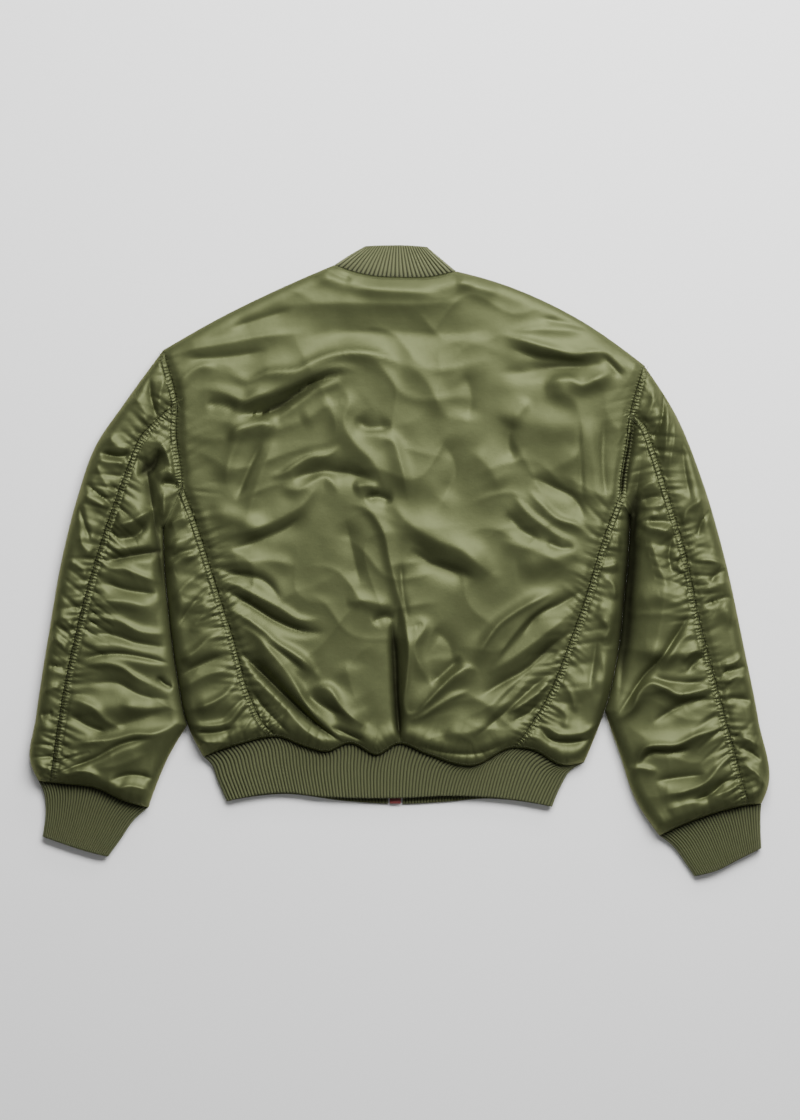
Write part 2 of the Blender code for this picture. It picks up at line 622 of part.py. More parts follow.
UNDERARM_ROWS = len(APEX_TO_UNDERARM) - 1
BODY_INSIDE_STEP = 4     # the inside keeps one row in so many
SLEEVE_INSIDE_STEP = 3
JUNCTION_ROW = APEX_ROW + len(APEX_TO_JUNCTION) - 1
TIP_ROW = JUNCTION_ROW + len(JUNCTION_TO_TIP) - 1
CUFF_RIBS = 35
HEM_RIBS = 87
COLLAR_RIBS = 28


def side_stations(side):
    """Every line of one side that two or more pieces share, already cut into its stations."""
    armhole = smooth(ARMHOLE[side])
    to_junction, below = split(armhole, np.array(SLEEVE_SEAM[side][0], float))
    to_front_junction, below_front = split(armhole, np.array(FRONT_SEAM[side][0], float))
    underarm = smooth(UNDERARM[side])
    cuff = smooth(CUFF_SEAM[side])
    cuff_outer, cuff_inner = split(cuff, np.array(SLEEVE_SEAM[side][-1], float))
    cuff_front_outer, cuff_front_inner = split(cuff, np.array(FRONT_SEAM[side][-1], float))
    hem = smooth(HEM_SEAM_BACK) if side == "left" else smooth(HEM_SEAM_BACK)[::-1]
    hem_front = smooth(HEM_SEAM_FRONT) if side == "left" else smooth(HEM_SEAM_FRONT)[::-1]
    neck_front = smooth(NECK_SEAM_FRONT) if side == "left" else smooth(NECK_SEAM_FRONT)[::-1]
    zip_edge = ZIP_X - ZIP_HALF_SLOT if side == "left" else ZIP_X + ZIP_HALF_SLOT
    hem_front, _ = split(hem_front, np.array([zip_edge, HEM_SEAM_FRONT[2][1]], float))
    neck_front, beyond = split(neck_front, np.array([zip_edge, NECK_SEAM_FRONT[3][1]], float))
    collar_end = mix(ZIP_X, zip_edge, COLLAR_HALF_SLOT / ZIP_HALF_SLOT)
    beyond, _ = split(beyond, np.array([collar_end, NECK_SEAM_FRONT[3][1]], float))
    hem_side, _ = split(hem, np.array(PRINCESS[side][-1], float))
    return {
        "shoulder": sample(smooth(SHOULDER[side])[::-1], BACK_SHOULDER),
        "princess": sample(smooth(PRINCESS[side])[::-1], PRINCESS_ROWS),
        "body_side": sample(smooth(BODY_SIDE[side])[::-1], PRINCESS_ROWS),
        "apex_to_junction": sample(below[::-1], APEX_TO_JUNCTION),
        "junction_to_tip": sample(to_junction[::-1], JUNCTION_TO_TIP),
        "apex_to_underarm": sample(underarm, APEX_TO_UNDERARM),
        "tip_to_front_junction": sample(to_front_junction, UNDERSIDE_TIP),
        "apex_to_front_junction": sample(below_front[::-1], UNDERSIDE_ARMHOLE),
        "sleeve_seam": sample(smooth(SLEEVE_SEAM[side]), SLEEVE_ROWS),
        "front_seam": sample(smooth(FRONT_SEAM[side]), SLEEVE_ROWS),
        "sleeve_outer": sample(smooth(SLEEVE_OUTER[side]), SLEEVE_ROWS),
        "sleeve_inner": chain(sample(underarm, APEX_TO_UNDERARM), sample(sleeve_inner(side), SLEEVE_INNER)),
        "cuff_upper": sample(cuff_outer[::-1], UPPER_CUFF),
        "cuff_under": sample(cuff_inner, UNDER_CUFF),
        "cuff_front_upper": sample(cuff_front_outer, UNDERSIDE_OUTER_CUFF),
        "cuff_front_under": sample(cuff_front_inner[::-1], UNDERSIDE_INNER_CUFF),
        "hem_side": sample(hem_side, SIDE_BACK_HEM),
        "hem_front": sample(hem_front, FRONT_HEM),
        "neck_front": sample(neck_front, FRONT_NECK),
        "neck_to_collar_end": beyond[[0, -1]],
    }


def hem_middle():
    """The back panel's part of the hem seam, between the princess seams."""
    middle, _ = split(smooth(HEM_SEAM_BACK), np.array(PRINCESS["right"][-1], float))
    _, middle = split(middle, np.array(PRINCESS["left"][-1], float))
    return sample(middle, np.linspace(0, 1, 2 * len(BACK_SHOULDER) + len(BACK_NECK) - 2))


LINES = {side: side_stations(side) for side in SIDES}
HEM_MIDDLE = hem_middle()


# ---------------------------------------------------------------- the padded pieces
def back_panel():
    left, right = LINES["left"], LINES["right"]
    top = chain(left["shoulder"], sample(smooth(NECK_SEAM_BACK), BACK_NECK), right["shoulder"][::-1])
    shoulder = len(BACK_SHOULDER) - 1
    neck = len(BACK_NECK) - 1
    sides = [chain(line["princess"], line["apex_to_junction"], line["junction_to_tip"])
             for line in (left, right)]
    top_edges = [OUTLINE_EDGE] * shoulder + [SEAM] * neck + [OUTLINE_EDGE] * shoulder
    plan = plan_grid(HEM_MIDDLE, sides[1], top, sides[0], (SEAM, SEAM, top_edges, SEAM))
    on_outline = np.zeros(plan.cut.shape[:2], bool)
    on_outline[-1, :shoulder + 1] = True
    on_outline[-1, shoulder + neck:] = True
    gather = np.zeros(plan.cut.shape[:2])
    gather[1:APEX_ROW] = ((-1.0)**np.arange(1, APEX_ROW))[:, None]
    outer, inner = sheet(plan, "back", on_outline, gather)
    kept = every(APEX_ROW, BODY_INSIDE_STEP, (1, 2)) + list(range(APEX_ROW + 1, TIP_ROW + 1))
    thinned("back_panel", outer, inner, kept, NYLON)


def side_back(side):
    line = LINES[side]
    top = line["apex_to_underarm"][::-1]
    edges = (SEAM, SEAM, SEAM, CONTACT_EDGE)
    plan = plan_grid(line["hem_side"], line["princess"], top, line["body_side"], edges)
    on_outline = np.zeros(plan.cut.shape[:2], bool)
    on_outline[:, 0] = True
    gather = np.zeros(plan.cut.shape[:2])
    gather[1:APEX_ROW] = ((-1.0)**np.arange(1, APEX_ROW))[:, None]
    outer, inner = sheet(plan, "back", on_outline, gather)
    thinned("side_back_" + side, outer, inner, every(APEX_ROW, BODY_INSIDE_STEP, (1, 2)), NYLON)


def front(side):
    line = LINES[side]
    left = chain(line["body_side"][FRONT_SIDE], line["apex_to_underarm"][::-1], line["apex_to_front_junction"],
                 line["tip_to_front_junction"][::-1])
    top = chain(line["shoulder"][FRONT_SHOULDER], line["neck_front"])
    bottom = line["hem_front"]
    length = np.r_[0, np.cumsum(np.linalg.norm(np.diff(left, axis=0), axis=1))]
    edge = sample(np.array([bottom[-1], top[-1]]), length / length[-1])
    shoulder = len(FRONT_SHOULDER) - 1
    side_rows = len(FRONT_SIDE) - 1
    top_edges = [OUTLINE_EDGE] * shoulder + [SEAM] * (len(top) - 1 - shoulder)
    left_edges = [CONTACT_EDGE] * side_rows + [SEAM] * (len(left) - 1 - side_rows)
    plan = plan_grid(bottom, edge, top, left, (SEAM, SEAM, top_edges, left_edges))
    on_outline = np.zeros(plan.cut.shape[:2], bool)
    on_outline[-1, :shoulder + 1] = True
    on_outline[:side_rows + 1, 0] = True
    outer, inner = sheet(plan, "front", on_outline, under_seam=True)
    thinned("front_" + side, outer, inner, list(range(outer.shape[0])), NYLON)


def sleeve(name, side, top_lines, under_lines, outline, open_rows):
    """A sleeve piece from the seam on top, round the sleeve's outline, to the seam underneath.

    outline names its outer line and the kind of that line; in the first open_rows rows the line is a seam
    and the two layers are apart.
    """
    line = LINES[side]
    edge, kind = line[outline[0]], outline[1]
    kinds = [SEAM] * open_rows + [kind] * (len(edge) - 1 - open_rows)
    top = plan_grid(top_lines[0], edge, top_lines[1], line["sleeve_seam"], (SEAM, kinds, SEAM, SEAM))
    under = plan_grid(under_lines[0], line["front_seam"], under_lines[1], edge, (SEAM, SEAM, SEAM, kinds))
    under.cut[open_rows:, 0] = top.cut[open_rows:, -1]
    on_outline = np.zeros(top.cut.shape[:2], bool)
    on_outline[open_rows:, -1] = True
    rows = len(top.cut)
    gather = np.zeros(top.cut.shape[:2])
    gather[1:rows - 3] = ((-1.0)**np.arange(1, rows - 3))[:, None]
    top_layer = sheet(top, "back", on_outline, gather)
    on_outline = np.zeros(under.cut.shape[:2], bool)
    on_outline[open_rows:, 0] = True
    under_layer = sheet(under, "front", on_outline)
    tube(name + "_" + side, top_layer, under_layer, open_rows)


def tube(name, top, under, open_rows):
    """A closed wall of two layers, each (outer, inner), joined along the outline from row open_rows on."""
    rows, top_columns = top[0].shape[:2]
    under_columns = under[0].shape[1]
    kept = every(rows - 1, SLEEVE_INSIDE_STEP, (*range(UNDERARM_ROWS + 1), rows - 3, rows - 2))
    solid = Solid()
    skins = []
    for skin, chosen in ((0, range(rows)), (1, kept)):
        numbers = {}
        for i in chosen:
            numbers["top", i] = solid.add(top[skin][i])
            if i >= open_rows:
                numbers["under", i] = numbers["top", i][-1:] + solid.add(under[skin][i][1:])
            else:
                numbers["under", i] = solid.add(under[skin][i])
        solid.grid([numbers["top", i] for i in chosen], skin == 1)
        solid.grid([numbers["under", i] for i in chosen], skin == 1)
        skins.append(numbers)
    path = [("top", i, top_columns - 1) for i in range(open_rows, 0, -1)]
    path += [("top", 0, j) for j in range(top_columns - 1, 0, -1)]
    path += [("top", i, 0) for i in range(rows - 1)]
    path += [("top", rows - 1, j) for j in range(top_columns - 1)]
    path += [("under", rows - 1, j) for j in range(under_columns - 1)]
    path += [("under", i, under_columns - 1) for i in range(rows - 1, 0, -1)]
    path += [("under", 0, j) for j in range(under_columns - 1, 0, -1)]
    path += [("under", i, 0) for i in range(open_rows + 1)]
    places = [place for place, (layer_name, i, j) in enumerate(path) if i in kept]
    fine = [skins[0][layer_name, i][j] for layer_name, i, j in path]
    coarse = [skins[1][path[place][0], path[place][1]][path[place][2]] for place in places]
    solid.strip(fine, coarse, range(len(path)), places, False)
    solid.build(name, *NYLON)


def sleeves(side):
    line = LINES[side]
    sleeve("sleeve_upper", side, (line["junction_to_tip"], line["cuff_upper"]),
           (line["tip_to_front_junction"], line["cuff_front_upper"]), ("sleeve_outer", OUTLINE_EDGE), 0)
    sleeve("sleeve_under", side, (line["apex_to_junction"][::-1], line["cuff_under"]),
           (line["apex_to_front_junction"], line["cuff_front_under"]), ("sleeve_inner", CONTACT_EDGE),
           UNDERARM_ROWS)


# ---------------------------------------------------------------- the rib knit bands
def grooves(shape):
    """Ribs across a band, two columns each, with its free edge rounded."""
    ribbed = np.zeros(shape)
    ribbed[:, 1::2] -= RIB_GROOVE
    ribbed[-1] -= BAND_EDGE_DROP
    ribbed[:, [0, -1]] = 0
    return ribbed


def rib_columns(seam, ribs):
    """Places across a band: its seam's own stations where it turns under, and two columns a rib between."""
    share = share_along(seam)
    length = np.linalg.norm(np.diff(seam, axis=0), axis=1).sum()
    first = int(np.searchsorted(share, RIB_ROLL / length))
    last = int(np.searchsorted(share, 1 - RIB_ROLL / length, side="right")) - 1
    between_folds = int(round(2 * ribs * (share[last] - share[first])))
    between_folds += between_folds % 2
    return np.r_[share[:first], np.linspace(share[first], share[last], between_folds + 1), share[last + 1:]]


def band_sheet(side, seam, end, sides, columns, ribbed, outline_columns, edges):
    """One layer of a band between its seam, its free edge and its two ends."""
    plan = plan_grid(sample(seam, columns), sides[1], sample(end, columns), sides[0], edges)
    on_outline = np.zeros(plan.cut.shape[:2], bool)
    on_outline[:, outline_columns] = True
    ribs = grooves(plan.cut.shape[:2]) if ribbed else np.zeros(plan.cut.shape[:2])
    return sheet(plan, side, on_outline, ribbed=ribs)


def cuff(side):
    line = LINES[side]
    sides = [sample(smooth(edge[side]), BAND_ROWS) for edge in (CUFF_OUTER, CUFF_INNER)]
    end = smooth(CUFF_END[side])
    edges = (BAND_SEAM, OUTLINE_EDGE, OUTLINE_EDGE, OUTLINE_EDGE)
    top_seam = chain(line["cuff_upper"][::-1], line["cuff_under"])
    fine = rib_columns(top_seam, CUFF_RIBS)
    outer, _ = band_sheet("back", top_seam, end, sides, fine, True, [0, -1], edges)
    _, inner = band_sheet("back", top_seam, end, sides, share_along(top_seam), False, [0, -1], edges)
    seam = chain(line["cuff_front_upper"], line["cuff_front_under"][::-1])
    under_outer, under_inner = band_sheet("front", seam, end, sides, share_along(seam), False, [0, -1], edges)
    outer = np.concatenate([outer, under_outer[:, ::-1][:, 1:-1]], axis=1)
    inner = np.concatenate([inner, under_inner[:, ::-1][:, 1:-1]], axis=1)
    round_under = 2 - share_along(seam)[::-1][1:]
    ends = (range(len(BAND_ROWS)), (0, len(BAND_ROWS) - 1))
    places = ends + (np.r_[fine, round_under], np.r_[share_along(top_seam), round_under])
    wall("cuff_" + side, outer, inner[[0, -1]], places, RIB_KNIT, closed=True)


def open_band(name, outline, back_seam, back_edge, front_seams, front_edges, ribs):
    """A band from the zip round the back to the zip, its halves in front lying underneath."""
    sides = [sample(edge, BAND_ROWS) for edge in outline]
    edges = (BAND_SEAM, OUTLINE_EDGE, OUTLINE_EDGE, OUTLINE_EDGE)
    fine = rib_columns(back_seam, ribs)
    outer, _ = band_sheet("back", back_seam, back_edge, sides, fine, True, [0, -1], edges)
    _, inner = band_sheet("back", back_seam, back_edge, sides, share_along(back_seam), False, [0, -1], edges)
    edges = (BAND_SEAM, SEAM, OUTLINE_EDGE, OUTLINE_EDGE)
    outer_places, inner_places = fine, share_along(back_seam)
    for k in range(2):
        seam = front_seams[k]
        columns = share_along(seam)
        edge = sample(front_edges[k], columns)
        zip_edge = sample(np.array([seam[-1], edge[-1]]), BAND_ROWS)
        under_outer, under_inner = band_sheet("front", seam, edge, (sides[k], zip_edge), columns, False, [0],
                                              edges)
        if k == 0:
            outer = np.concatenate([under_outer[:, ::-1], outer[:, 1:]], axis=1)
            inner = np.concatenate([under_inner[:, ::-1], inner[:, 1:]], axis=1)
            outer_places = np.r_[-columns[::-1], outer_places[1:]]
            inner_places = np.r_[-columns[::-1], inner_places[1:]]
        else:
            outer = np.concatenate([outer, under_outer[:, 1:]], axis=1)
            inner = np.concatenate([inner, under_inner[:, 1:]], axis=1)
            outer_places = np.r_[outer_places, 1 + columns[1:]]
            inner_places = np.r_[inner_places, 1 + columns[1:]]
    places = (range(len(BAND_ROWS)), (0, len(BAND_ROWS) - 1), outer_places, inner_places)
    wall(name, outer, inner[[0, -1]], places, RIB_KNIT)


def zip_side(line, point, side, half_slot):
    """The part of a front line from the outline to half a slot short of the zip's centre line."""
    edge = ZIP_X - half_slot if side == "left" else ZIP_X + half_slot
    ordered = smooth(line) if side == "left" else smooth(line)[::-1]
    return split(ordered, np.array([edge, point[1]], float))[0]


def hem_rib():
    left, right = LINES["left"], LINES["right"]
    seam = chain(left["hem_side"], HEM_MIDDLE, right["hem_side"][::-1])
    outline = [smooth(HEM_SIDE[side]) for side in SIDES]
    edges = [zip_side(HEM_EDGE_FRONT, HEM_EDGE_FRONT[3], side, ZIP_HALF_SLOT) for side in SIDES]
    open_band("hem_rib", outline, seam, smooth(HEM_EDGE_BACK), [left["hem_front"], right["hem_front"]], edges,
              HEM_RIBS)


def collar():
    seam = sample(smooth(NECK_SEAM_BACK), BACK_NECK)
    outline = [smooth(COLLAR_SIDE[side]) for side in SIDES]
    front_seams = [chain(LINES[side]["neck_front"], LINES[side]["neck_to_collar_end"]) for side in SIDES]
    edges = [zip_side(COLLAR_TOP_FRONT, COLLAR_TOP_FRONT[2], side, COLLAR_HALF_SLOT) for side in SIDES]
    open_band("collar", outline, seam, smooth(COLLAR_TOP_BACK), front_seams, edges, COLLAR_RIBS)


# ---------------------------------------------------------------- the zip
def zip_strip(name, low_x, high_x, thick, top, finish):
    """A strip of the zip from the waistband up to the neck, following the height of the zip's middle."""
    solid = Solid()
    rows = []
    for y in (ZIP_BOTTOM, *ZIP_RISE, top):
        middle = mix(ZIP_LOW, ZIP_HIGH, smoothstep(ZIP_RISE[0], ZIP_RISE[-1], y))
        low, high = middle - thick / 2, middle + thick / 2
        section = ((low_x, low), (high_x, low), (high_x, high), (low_x, high))
        rows.append(solid.add([np.array([ZIP_X + x, y, z]) for x, z in section]))
    solid.grid([row + row[:1] for row in rows], False)
    solid.faces += [tuple(rows[0][::-1]), tuple(rows[-1])]
    solid.build(name, *finish)


def blocks(name, origin, cuts, filled, finish):
    """One closed piece from the filled cells of a grid. cuts are its planes along x, y and z."""
    solid = Solid()
    corners = {}

    def corner(key):
        if key not in corners:
            place = [origin[axis] + cuts[axis][key[axis]] for axis in range(3)]
            corners[key] = solid.add([np.array(place)])[0]
        return corners[key]

    for cell in filled:
        for axis in range(3):
            one, two = [other for other in range(3) if other != axis]
            for step in (0, 1):
                neighbour = list(cell)
                neighbour[axis] += 2 * step - 1
                if tuple(neighbour) in filled:
                    continue
                face = []
                for a, b in ((0, 0), (1, 0), (1, 1), (0, 1)):
                    key = list(cell)
                    key[axis] += step
                    key[one] += a
                    key[two] += b
                    face.append(corner(tuple(key)))
                solid.faces.append(tuple(face) if (step == 1) == (axis != 1) else tuple(face[::-1]))
    solid.build(name, *finish)


def zip_slider():
    """Two plates over and under the chain, the throat between them past its end, and the bail underneath."""
    cuts = ((-4.6, -0.8, 0.8, 4.6), (-4.5, -2.8, -1.9, 1.9, 2.8, 7.0, 11.5), (-1.7, -1.0, 1.1, 2.1, 4.7, 5.6))
    filled = {(i, j, k) for i in range(3) for j in range(6) for k in (2, 4)} | {(1, 5, 3)}
    filled |= {(1, j, 0) for j in (1, 2, 3)} | {(1, 1, 1), (1, 3, 1)}
    blocks("zip_slider", (ZIP_X, SLIDER_Y, PULL_HEIGHT), cuts, filled, ZIP_METAL)


def zip_pull():
    """A flat tab with a window, whose end bar lies in the bail; it swings about that bar."""
    half = PULL_THICK / 2
    cuts = ((-3.2, -1.7, 1.7, 3.2), (-30.0, -5.5, -half, half), (-half, half))
    filled = {(i, 0, 0) for i in range(3)} | {(0, 1, 0), (2, 1, 0)} | {(i, 2, 0) for i in range(3)}
    blocks("zip_pull", (ZIP_X, SLIDER_Y, PULL_HEIGHT), cuts, filled, ZIP_METAL)


def zip_pieces():
    zip_strip("zip_tape_left", -TAPE_EDGE, -CHAIN_HALF - ZIP_GAP, TAPE_THICK, TAPE_TOP, ZIP_TAPE)
    zip_strip("zip_tape_right", CHAIN_HALF + ZIP_GAP, TAPE_EDGE, TAPE_THICK, TAPE_TOP, ZIP_TAPE)
    zip_strip("zip_chain", -CHAIN_HALF, CHAIN_HALF, CHAIN_THICK, CHAIN_TOP, ZIP_METAL)
    cuts = ((-BOX_HALF, BOX_HALF), (BOX_END, ZIP_BOTTOM - ZIP_GAP), (-BOX_THICK / 2, BOX_THICK / 2))
    blocks("zip_box", (ZIP_X, 0, ZIP_LOW), cuts, {(0, 0, 0)}, ZIP_END)
    zip_slider()
    zip_pull()


# ---------------------------------------------------------------- the whole jacket
def main():
    for piece in list(bpy.data.objects):
        bpy.data.objects.remove(piece)
    back_panel()
    for side in SIDES:
        side_back(side)
        front(side)
        sleeves(side)
        cuff(side)
    hem_rib()
    collar()
    zip_pieces()


main()
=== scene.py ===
"""Padded satin flight jacket lying front down with its back up: the look round its fixed frame.

Run as a script, it sets up the floor, light and camera and builds each group of pieces, every one through
its own operator.
Tables of plan points are in millimetres; meshes are made in metres, about the middle of the outline.
"""
from collections import namedtuple

import bmesh
import bpy
import numpy as np
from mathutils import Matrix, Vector


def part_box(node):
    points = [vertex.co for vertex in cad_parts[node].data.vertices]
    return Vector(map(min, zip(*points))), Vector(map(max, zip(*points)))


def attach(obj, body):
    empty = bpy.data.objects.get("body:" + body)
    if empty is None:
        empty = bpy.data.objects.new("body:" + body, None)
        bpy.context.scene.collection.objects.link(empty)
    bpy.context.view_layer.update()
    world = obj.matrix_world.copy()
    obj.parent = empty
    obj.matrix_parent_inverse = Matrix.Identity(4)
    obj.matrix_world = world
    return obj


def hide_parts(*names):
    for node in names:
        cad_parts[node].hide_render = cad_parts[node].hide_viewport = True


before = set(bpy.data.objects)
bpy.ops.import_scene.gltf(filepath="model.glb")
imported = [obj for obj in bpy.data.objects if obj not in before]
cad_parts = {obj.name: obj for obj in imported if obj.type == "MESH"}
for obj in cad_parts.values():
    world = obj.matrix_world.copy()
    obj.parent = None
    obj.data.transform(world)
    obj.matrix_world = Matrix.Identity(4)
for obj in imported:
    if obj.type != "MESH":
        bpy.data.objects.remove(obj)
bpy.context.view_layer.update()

bl_info = {
    "name": "Flight jacket, laid flat",
    "version": (1, 0, 0),
    "blender": (4, 5, 0),
    "location": "3D View > Sidebar > Jacket",
    "description": "Builds a padded satin flight jacket with rib knit bands, lying with its back up",
    "category": "Object",
}

MM = 0.001
BODY = "jacket"

# ---------------------------------------------------------------- driving sizes (mm)
SEAM_GAP = 0.36          # between two pieces at a seam
BAND_GAP = 0.6           # between a band and the cloth gathered onto it
SLEEVE_CLEARANCE = 0.3   # between the body's side fold and the sleeve that lies against it
BODY_HEIGHT = 24.0       # two padded walls lying on each other
SLEEVE_EXTRA = 4.0       # a sleeve is fuller than the body
SLEEVE_FROM = (285, 345)     # between these distances from the middle it grows so
SHOULDER_LOSS = 4.0      # and the shoulders are thinner
SHOULDER_FROM = (230, 340)   # between these heights along the back
FOLD_HEIGHT = 10.0       # height of the outline, where the top turns into the underside
SIDE_WALL = 8.5          # padded wall, measured across at the outline
BACK_INSIDE = 12.4       # height of the upper wall's inside
FRONT_INSIDE = 8.6       # height of the lower wall's inside
BACK_ROLL = 17.0         # how far in from the outline the upper wall rounds away
FRONT_ROLL = 15.0        # and the lower wall
RIB_TOP = 13.4           # the same heights where a wall meets a rib knit band
RIB_FOLD = 6.7
RIB_WALL = 4.6
RIB_BACK_INSIDE = 8.6
RIB_FRONT_INSIDE = 4.8
RIB_ROLL = 9.0
BLOUSE_REACH = 16.0      # the padded cloth falls to a band over this length
BLOUSE_MIDDLE = 17       # it stands highest this far from the band
BLOUSE_SPREAD = 11
SEAM_DEPTH = 3.0         # a sewn seam is pulled in by this much
SEAM_REACH = 7.0
VALLEY_FLOOR = 5         # a valley deeper than this is eased, to twice this at most
FOLD_CLEAR = 14          # the large folds fade out towards a seam over this length
CREASE_CLEAR = 8         # and the creases
SHADE_DEPTHS = (3.0, 11.0)   # between these depths of a fold the cloth's tone darkens: painted shade in the folds
UPPER_WALL = 9           # what is higher belongs to the upper wall
INSIDE_STEP = 5          # a wall's inside keeps one row and column in so many
CORNER_SOFTNESS = 1.5    # how far the inside's corners are eased
ZIP_X = -6.0             # centre line of the zip
ZIP_HALF_SLOT = 9.0      # from there to the front edges
COLLAR_HALF_SLOT = 1.5   # the collar's ends meet nearer, past the zip's top
ZIP_LOW = 4.0            # height of the zip's middle in the waistband
ZIP_HIGH = 5.6           # and between the fronts
ZIP_RISE = (-250.0, -190.0)  # where it rises from the one to the other
CHAIN_BOTTOM = -297.6    # from here the teeth run
CHAIN_TOP = 295.6        # to here
CHAIN_POINTS = 120       # vertices of the line that each row of teeth follows
TOOTH_OFFSET = 1.2       # from the zip's centre line to a row
TOOTH_PITCH = 2.8        # between two teeth of a row
HEM_RIBS = 104           # ribs of the waistband across the back
HEM_FRONT_RIBS = 50      # and on each half in front
COLLAR_RIBS = 28
COLLAR_FRONT_RIBS = 22
CUFF_RIBS = 35           # on each layer of a cuff
EDGE_ROUNDING = 2.2      # a band's free edge is rounded over this length
EDGE_ROW = 3.2           # from a band's seam to the row of stitches beside it
ROW_STEP = 1.5           # between two vertices of the line that a row of stitches follows
STITCH_LIFT = 0.12       # the thread's middle above the cloth
CENTRE = (-0.612, -0.915)    # middle of the outline in plan, which becomes the origin
SHARP_ANGLE = 62         # degrees; faces that meet at more than this have a sharp edge

# ---------------------------------------------------------------- sizes of small parts and cuts (m)
TOOTH_SIZE = {"Length": 0.0013, "Width": 0.0040, "Height": 0.0018}
ZIP_END_ROUNDING = 0.0012

# ---------------------------------------------------------------- stage (m)
FRAME_HEIGHT = 1.4336    # what the camera sees from top to bottom
FRAME_LEVEL = 0.012      # at this height above the floor
FRAME_MIDDLE = (0.00061, 0.00092)
FLOOR_HALF = 4
CAMERA_HEIGHT = 6.0
WORLD_STRENGTH = 0.16
LIGHTS = (       # name, place, aim, width and height, watts
    ("key", (0.6, 1.55, 2.2), (0.0, -0.05, 0.0), (2.4, 1.1), 168.0),
    ("low", (0.6, 1.85, 0.9), (0.0, 0.1, 0.0), (2.4, 0.5), 22.0),
    ("fill", (0.4, -2.4, 3.0), (0.0, 0.0, 0.0), (2.5, 1.2), 8.0),
)


# ---------------------------------------------------------------- outline and seams, in plan (mm)
SHOULDER = {
    "left": ((-84, 378), (-153, 348), (-229, 311), (-303, 269)),
    "right": ((72, 370), (129, 354), (231, 307), (312, 250)),
}
SLEEVE_OUTER = {
    "left": ((-303, 269), (-355, 198), (-390, 146), (-412, 84), (-432, 6), (-449, -90), (-466, -200),
             (-473, -260), (-463, -283)),
    "right": ((312, 250), (352, 188), (387, 102), (415, 6), (440, -109), (459, -205), (471, -292),
              (463, -312)),
}
ARMHOLE = {
    "left": ((-303, 269), (-293, 236), (-285, 202), (-286, 160), (-279, 112), (-278, 94)),
    "right": ((312, 250), (302, 218), (294, 188), (289, 150), (282, 106), (280, 80)),
}
UNDERARM = {
    "left": ((-278, 94), (-287, 74), (-295, 56), (-303, 40)),
    "right": ((280, 80), (284, 74), (289, 66), (294, 56)),
}
SLEEVE_SEAM = {
    "left": ((-285, 202), (-312, 179), (-333, 156), (-347, 122), (-374, 47), (-404, -52), (-432, -179),
             (-447, -285)),
    "right": ((294, 188), (312, 173), (325, 140), (341, 89), (364, 12), (383, -77), (413, -190),
              (446, -314)),
}
FRONT_SEAM = {
    "left": ((-279, 112), (-338, 40), (-382, -110), (-391, -292)),
    "right": ((282, 106), (341, 20), (392, -140), (411, -322)),
}
PRINCESS = {
    "left": ((-278, 94), (-259, 43), (-236, -30), (-212, -104), (-192, -173), (-172, -212), (-156, -227)),
    "right": ((280, 80), (257, 19), (239, -42), (216, -107), (188, -176), (166, -212), (145, -241)),
}
BODY_SIDE = {
    "left": ((-303, 40), (-301, -16), (-297, -60), (-285, -150), (-272, -211), (-252, -252)),
    "right": ((294, 56), (293, 10), (287, -50), (280, -115), (262, -193), (236, -259)),
}
SLEEVE_FREE = {          # the sleeve's inner edge, from where it leaves the body
    "left": ((-272, -211), (-292, -244), (-322, -317)),
    "right": ((262, -193), (280, -245), (303, -310), (332, -353)),
}
CUFF_SEAM = {
    "left": ((-463, -283), (-447, -285), (-430, -287), (-391, -292), (-350, -310), (-322, -317)),
    "right": ((463, -312), (446, -314), (411, -322), (368, -337), (332, -353)),
}
CUFF_OUTER = {
    "left": ((-463, -283), (-456, -299), (-454, -317), (-458, -354)),
    "right": ((463, -312), (462, -328), (462, -344), (463, -369)),
}
CUFF_INNER = {
    "left": ((-322, -317), (-339, -331), (-358, -358), (-374, -380)),
    "right": ((332, -353), (350, -367), (364, -386), (377, -405)),
}
CUFF_END = {
    "left": ((-458, -354), (-433, -363), (-395, -375), (-374, -380)),
    "right": ((463, -369), (433, -384), (405, -398), (377, -405)),
}
HEM_SEAM_BACK = ((-252, -252), (-205, -236), (-156, -227), (-120, -240), (-95, -246), (-64, -235),
                 (-29, -250), (-2, -236), (34, -249), (93, -264), (145, -241), (168, -243), (208, -263),
                 (236, -259))
HEM_SEAM_FRONT = ((-252, -252), (-156, -240), (-6, -243), (145, -246), (236, -259))
HEM_SIDE = {
    "left": ((-252, -252), (-243, -260), (-234, -282), (-222, -309)),
    "right": ((236, -259), (216, -271), (206, -289), (195, -316)),
}
HEM_EDGE_BACK = ((-222, -309), (-150, -298), (-99, -303), (-3, -305), (68, -302), (152, -308), (195, -316))
HEM_EDGE_FRONT = ((-222, -309), (-150, -300), (-70, -309), (-6, -313), (60, -310), (108, -306), (195, -316))
NECK_SEAM_BACK = ((-84, 378), (-62, 370), (-36, 364), (0, 362), (40, 363), (72, 370))
NECK_SEAM_FRONT = ((-84, 378), (-76, 350), (-50, 318), (-6, 303), (38, 315), (64, 344), (72, 370))
COLLAR_SIDE = {
    "left": ((-84, 378), (-69, 388), (-45, 402)),
    "right": ((72, 370), (55, 384), (35, 401)),
}
COLLAR_TOP_BACK = ((-45, 402), (-19, 403), (7, 403), (35, 401))
COLLAR_TOP_FRONT = ((-45, 402), (-36, 374), (-6, 352), (26, 374), (35, 401))

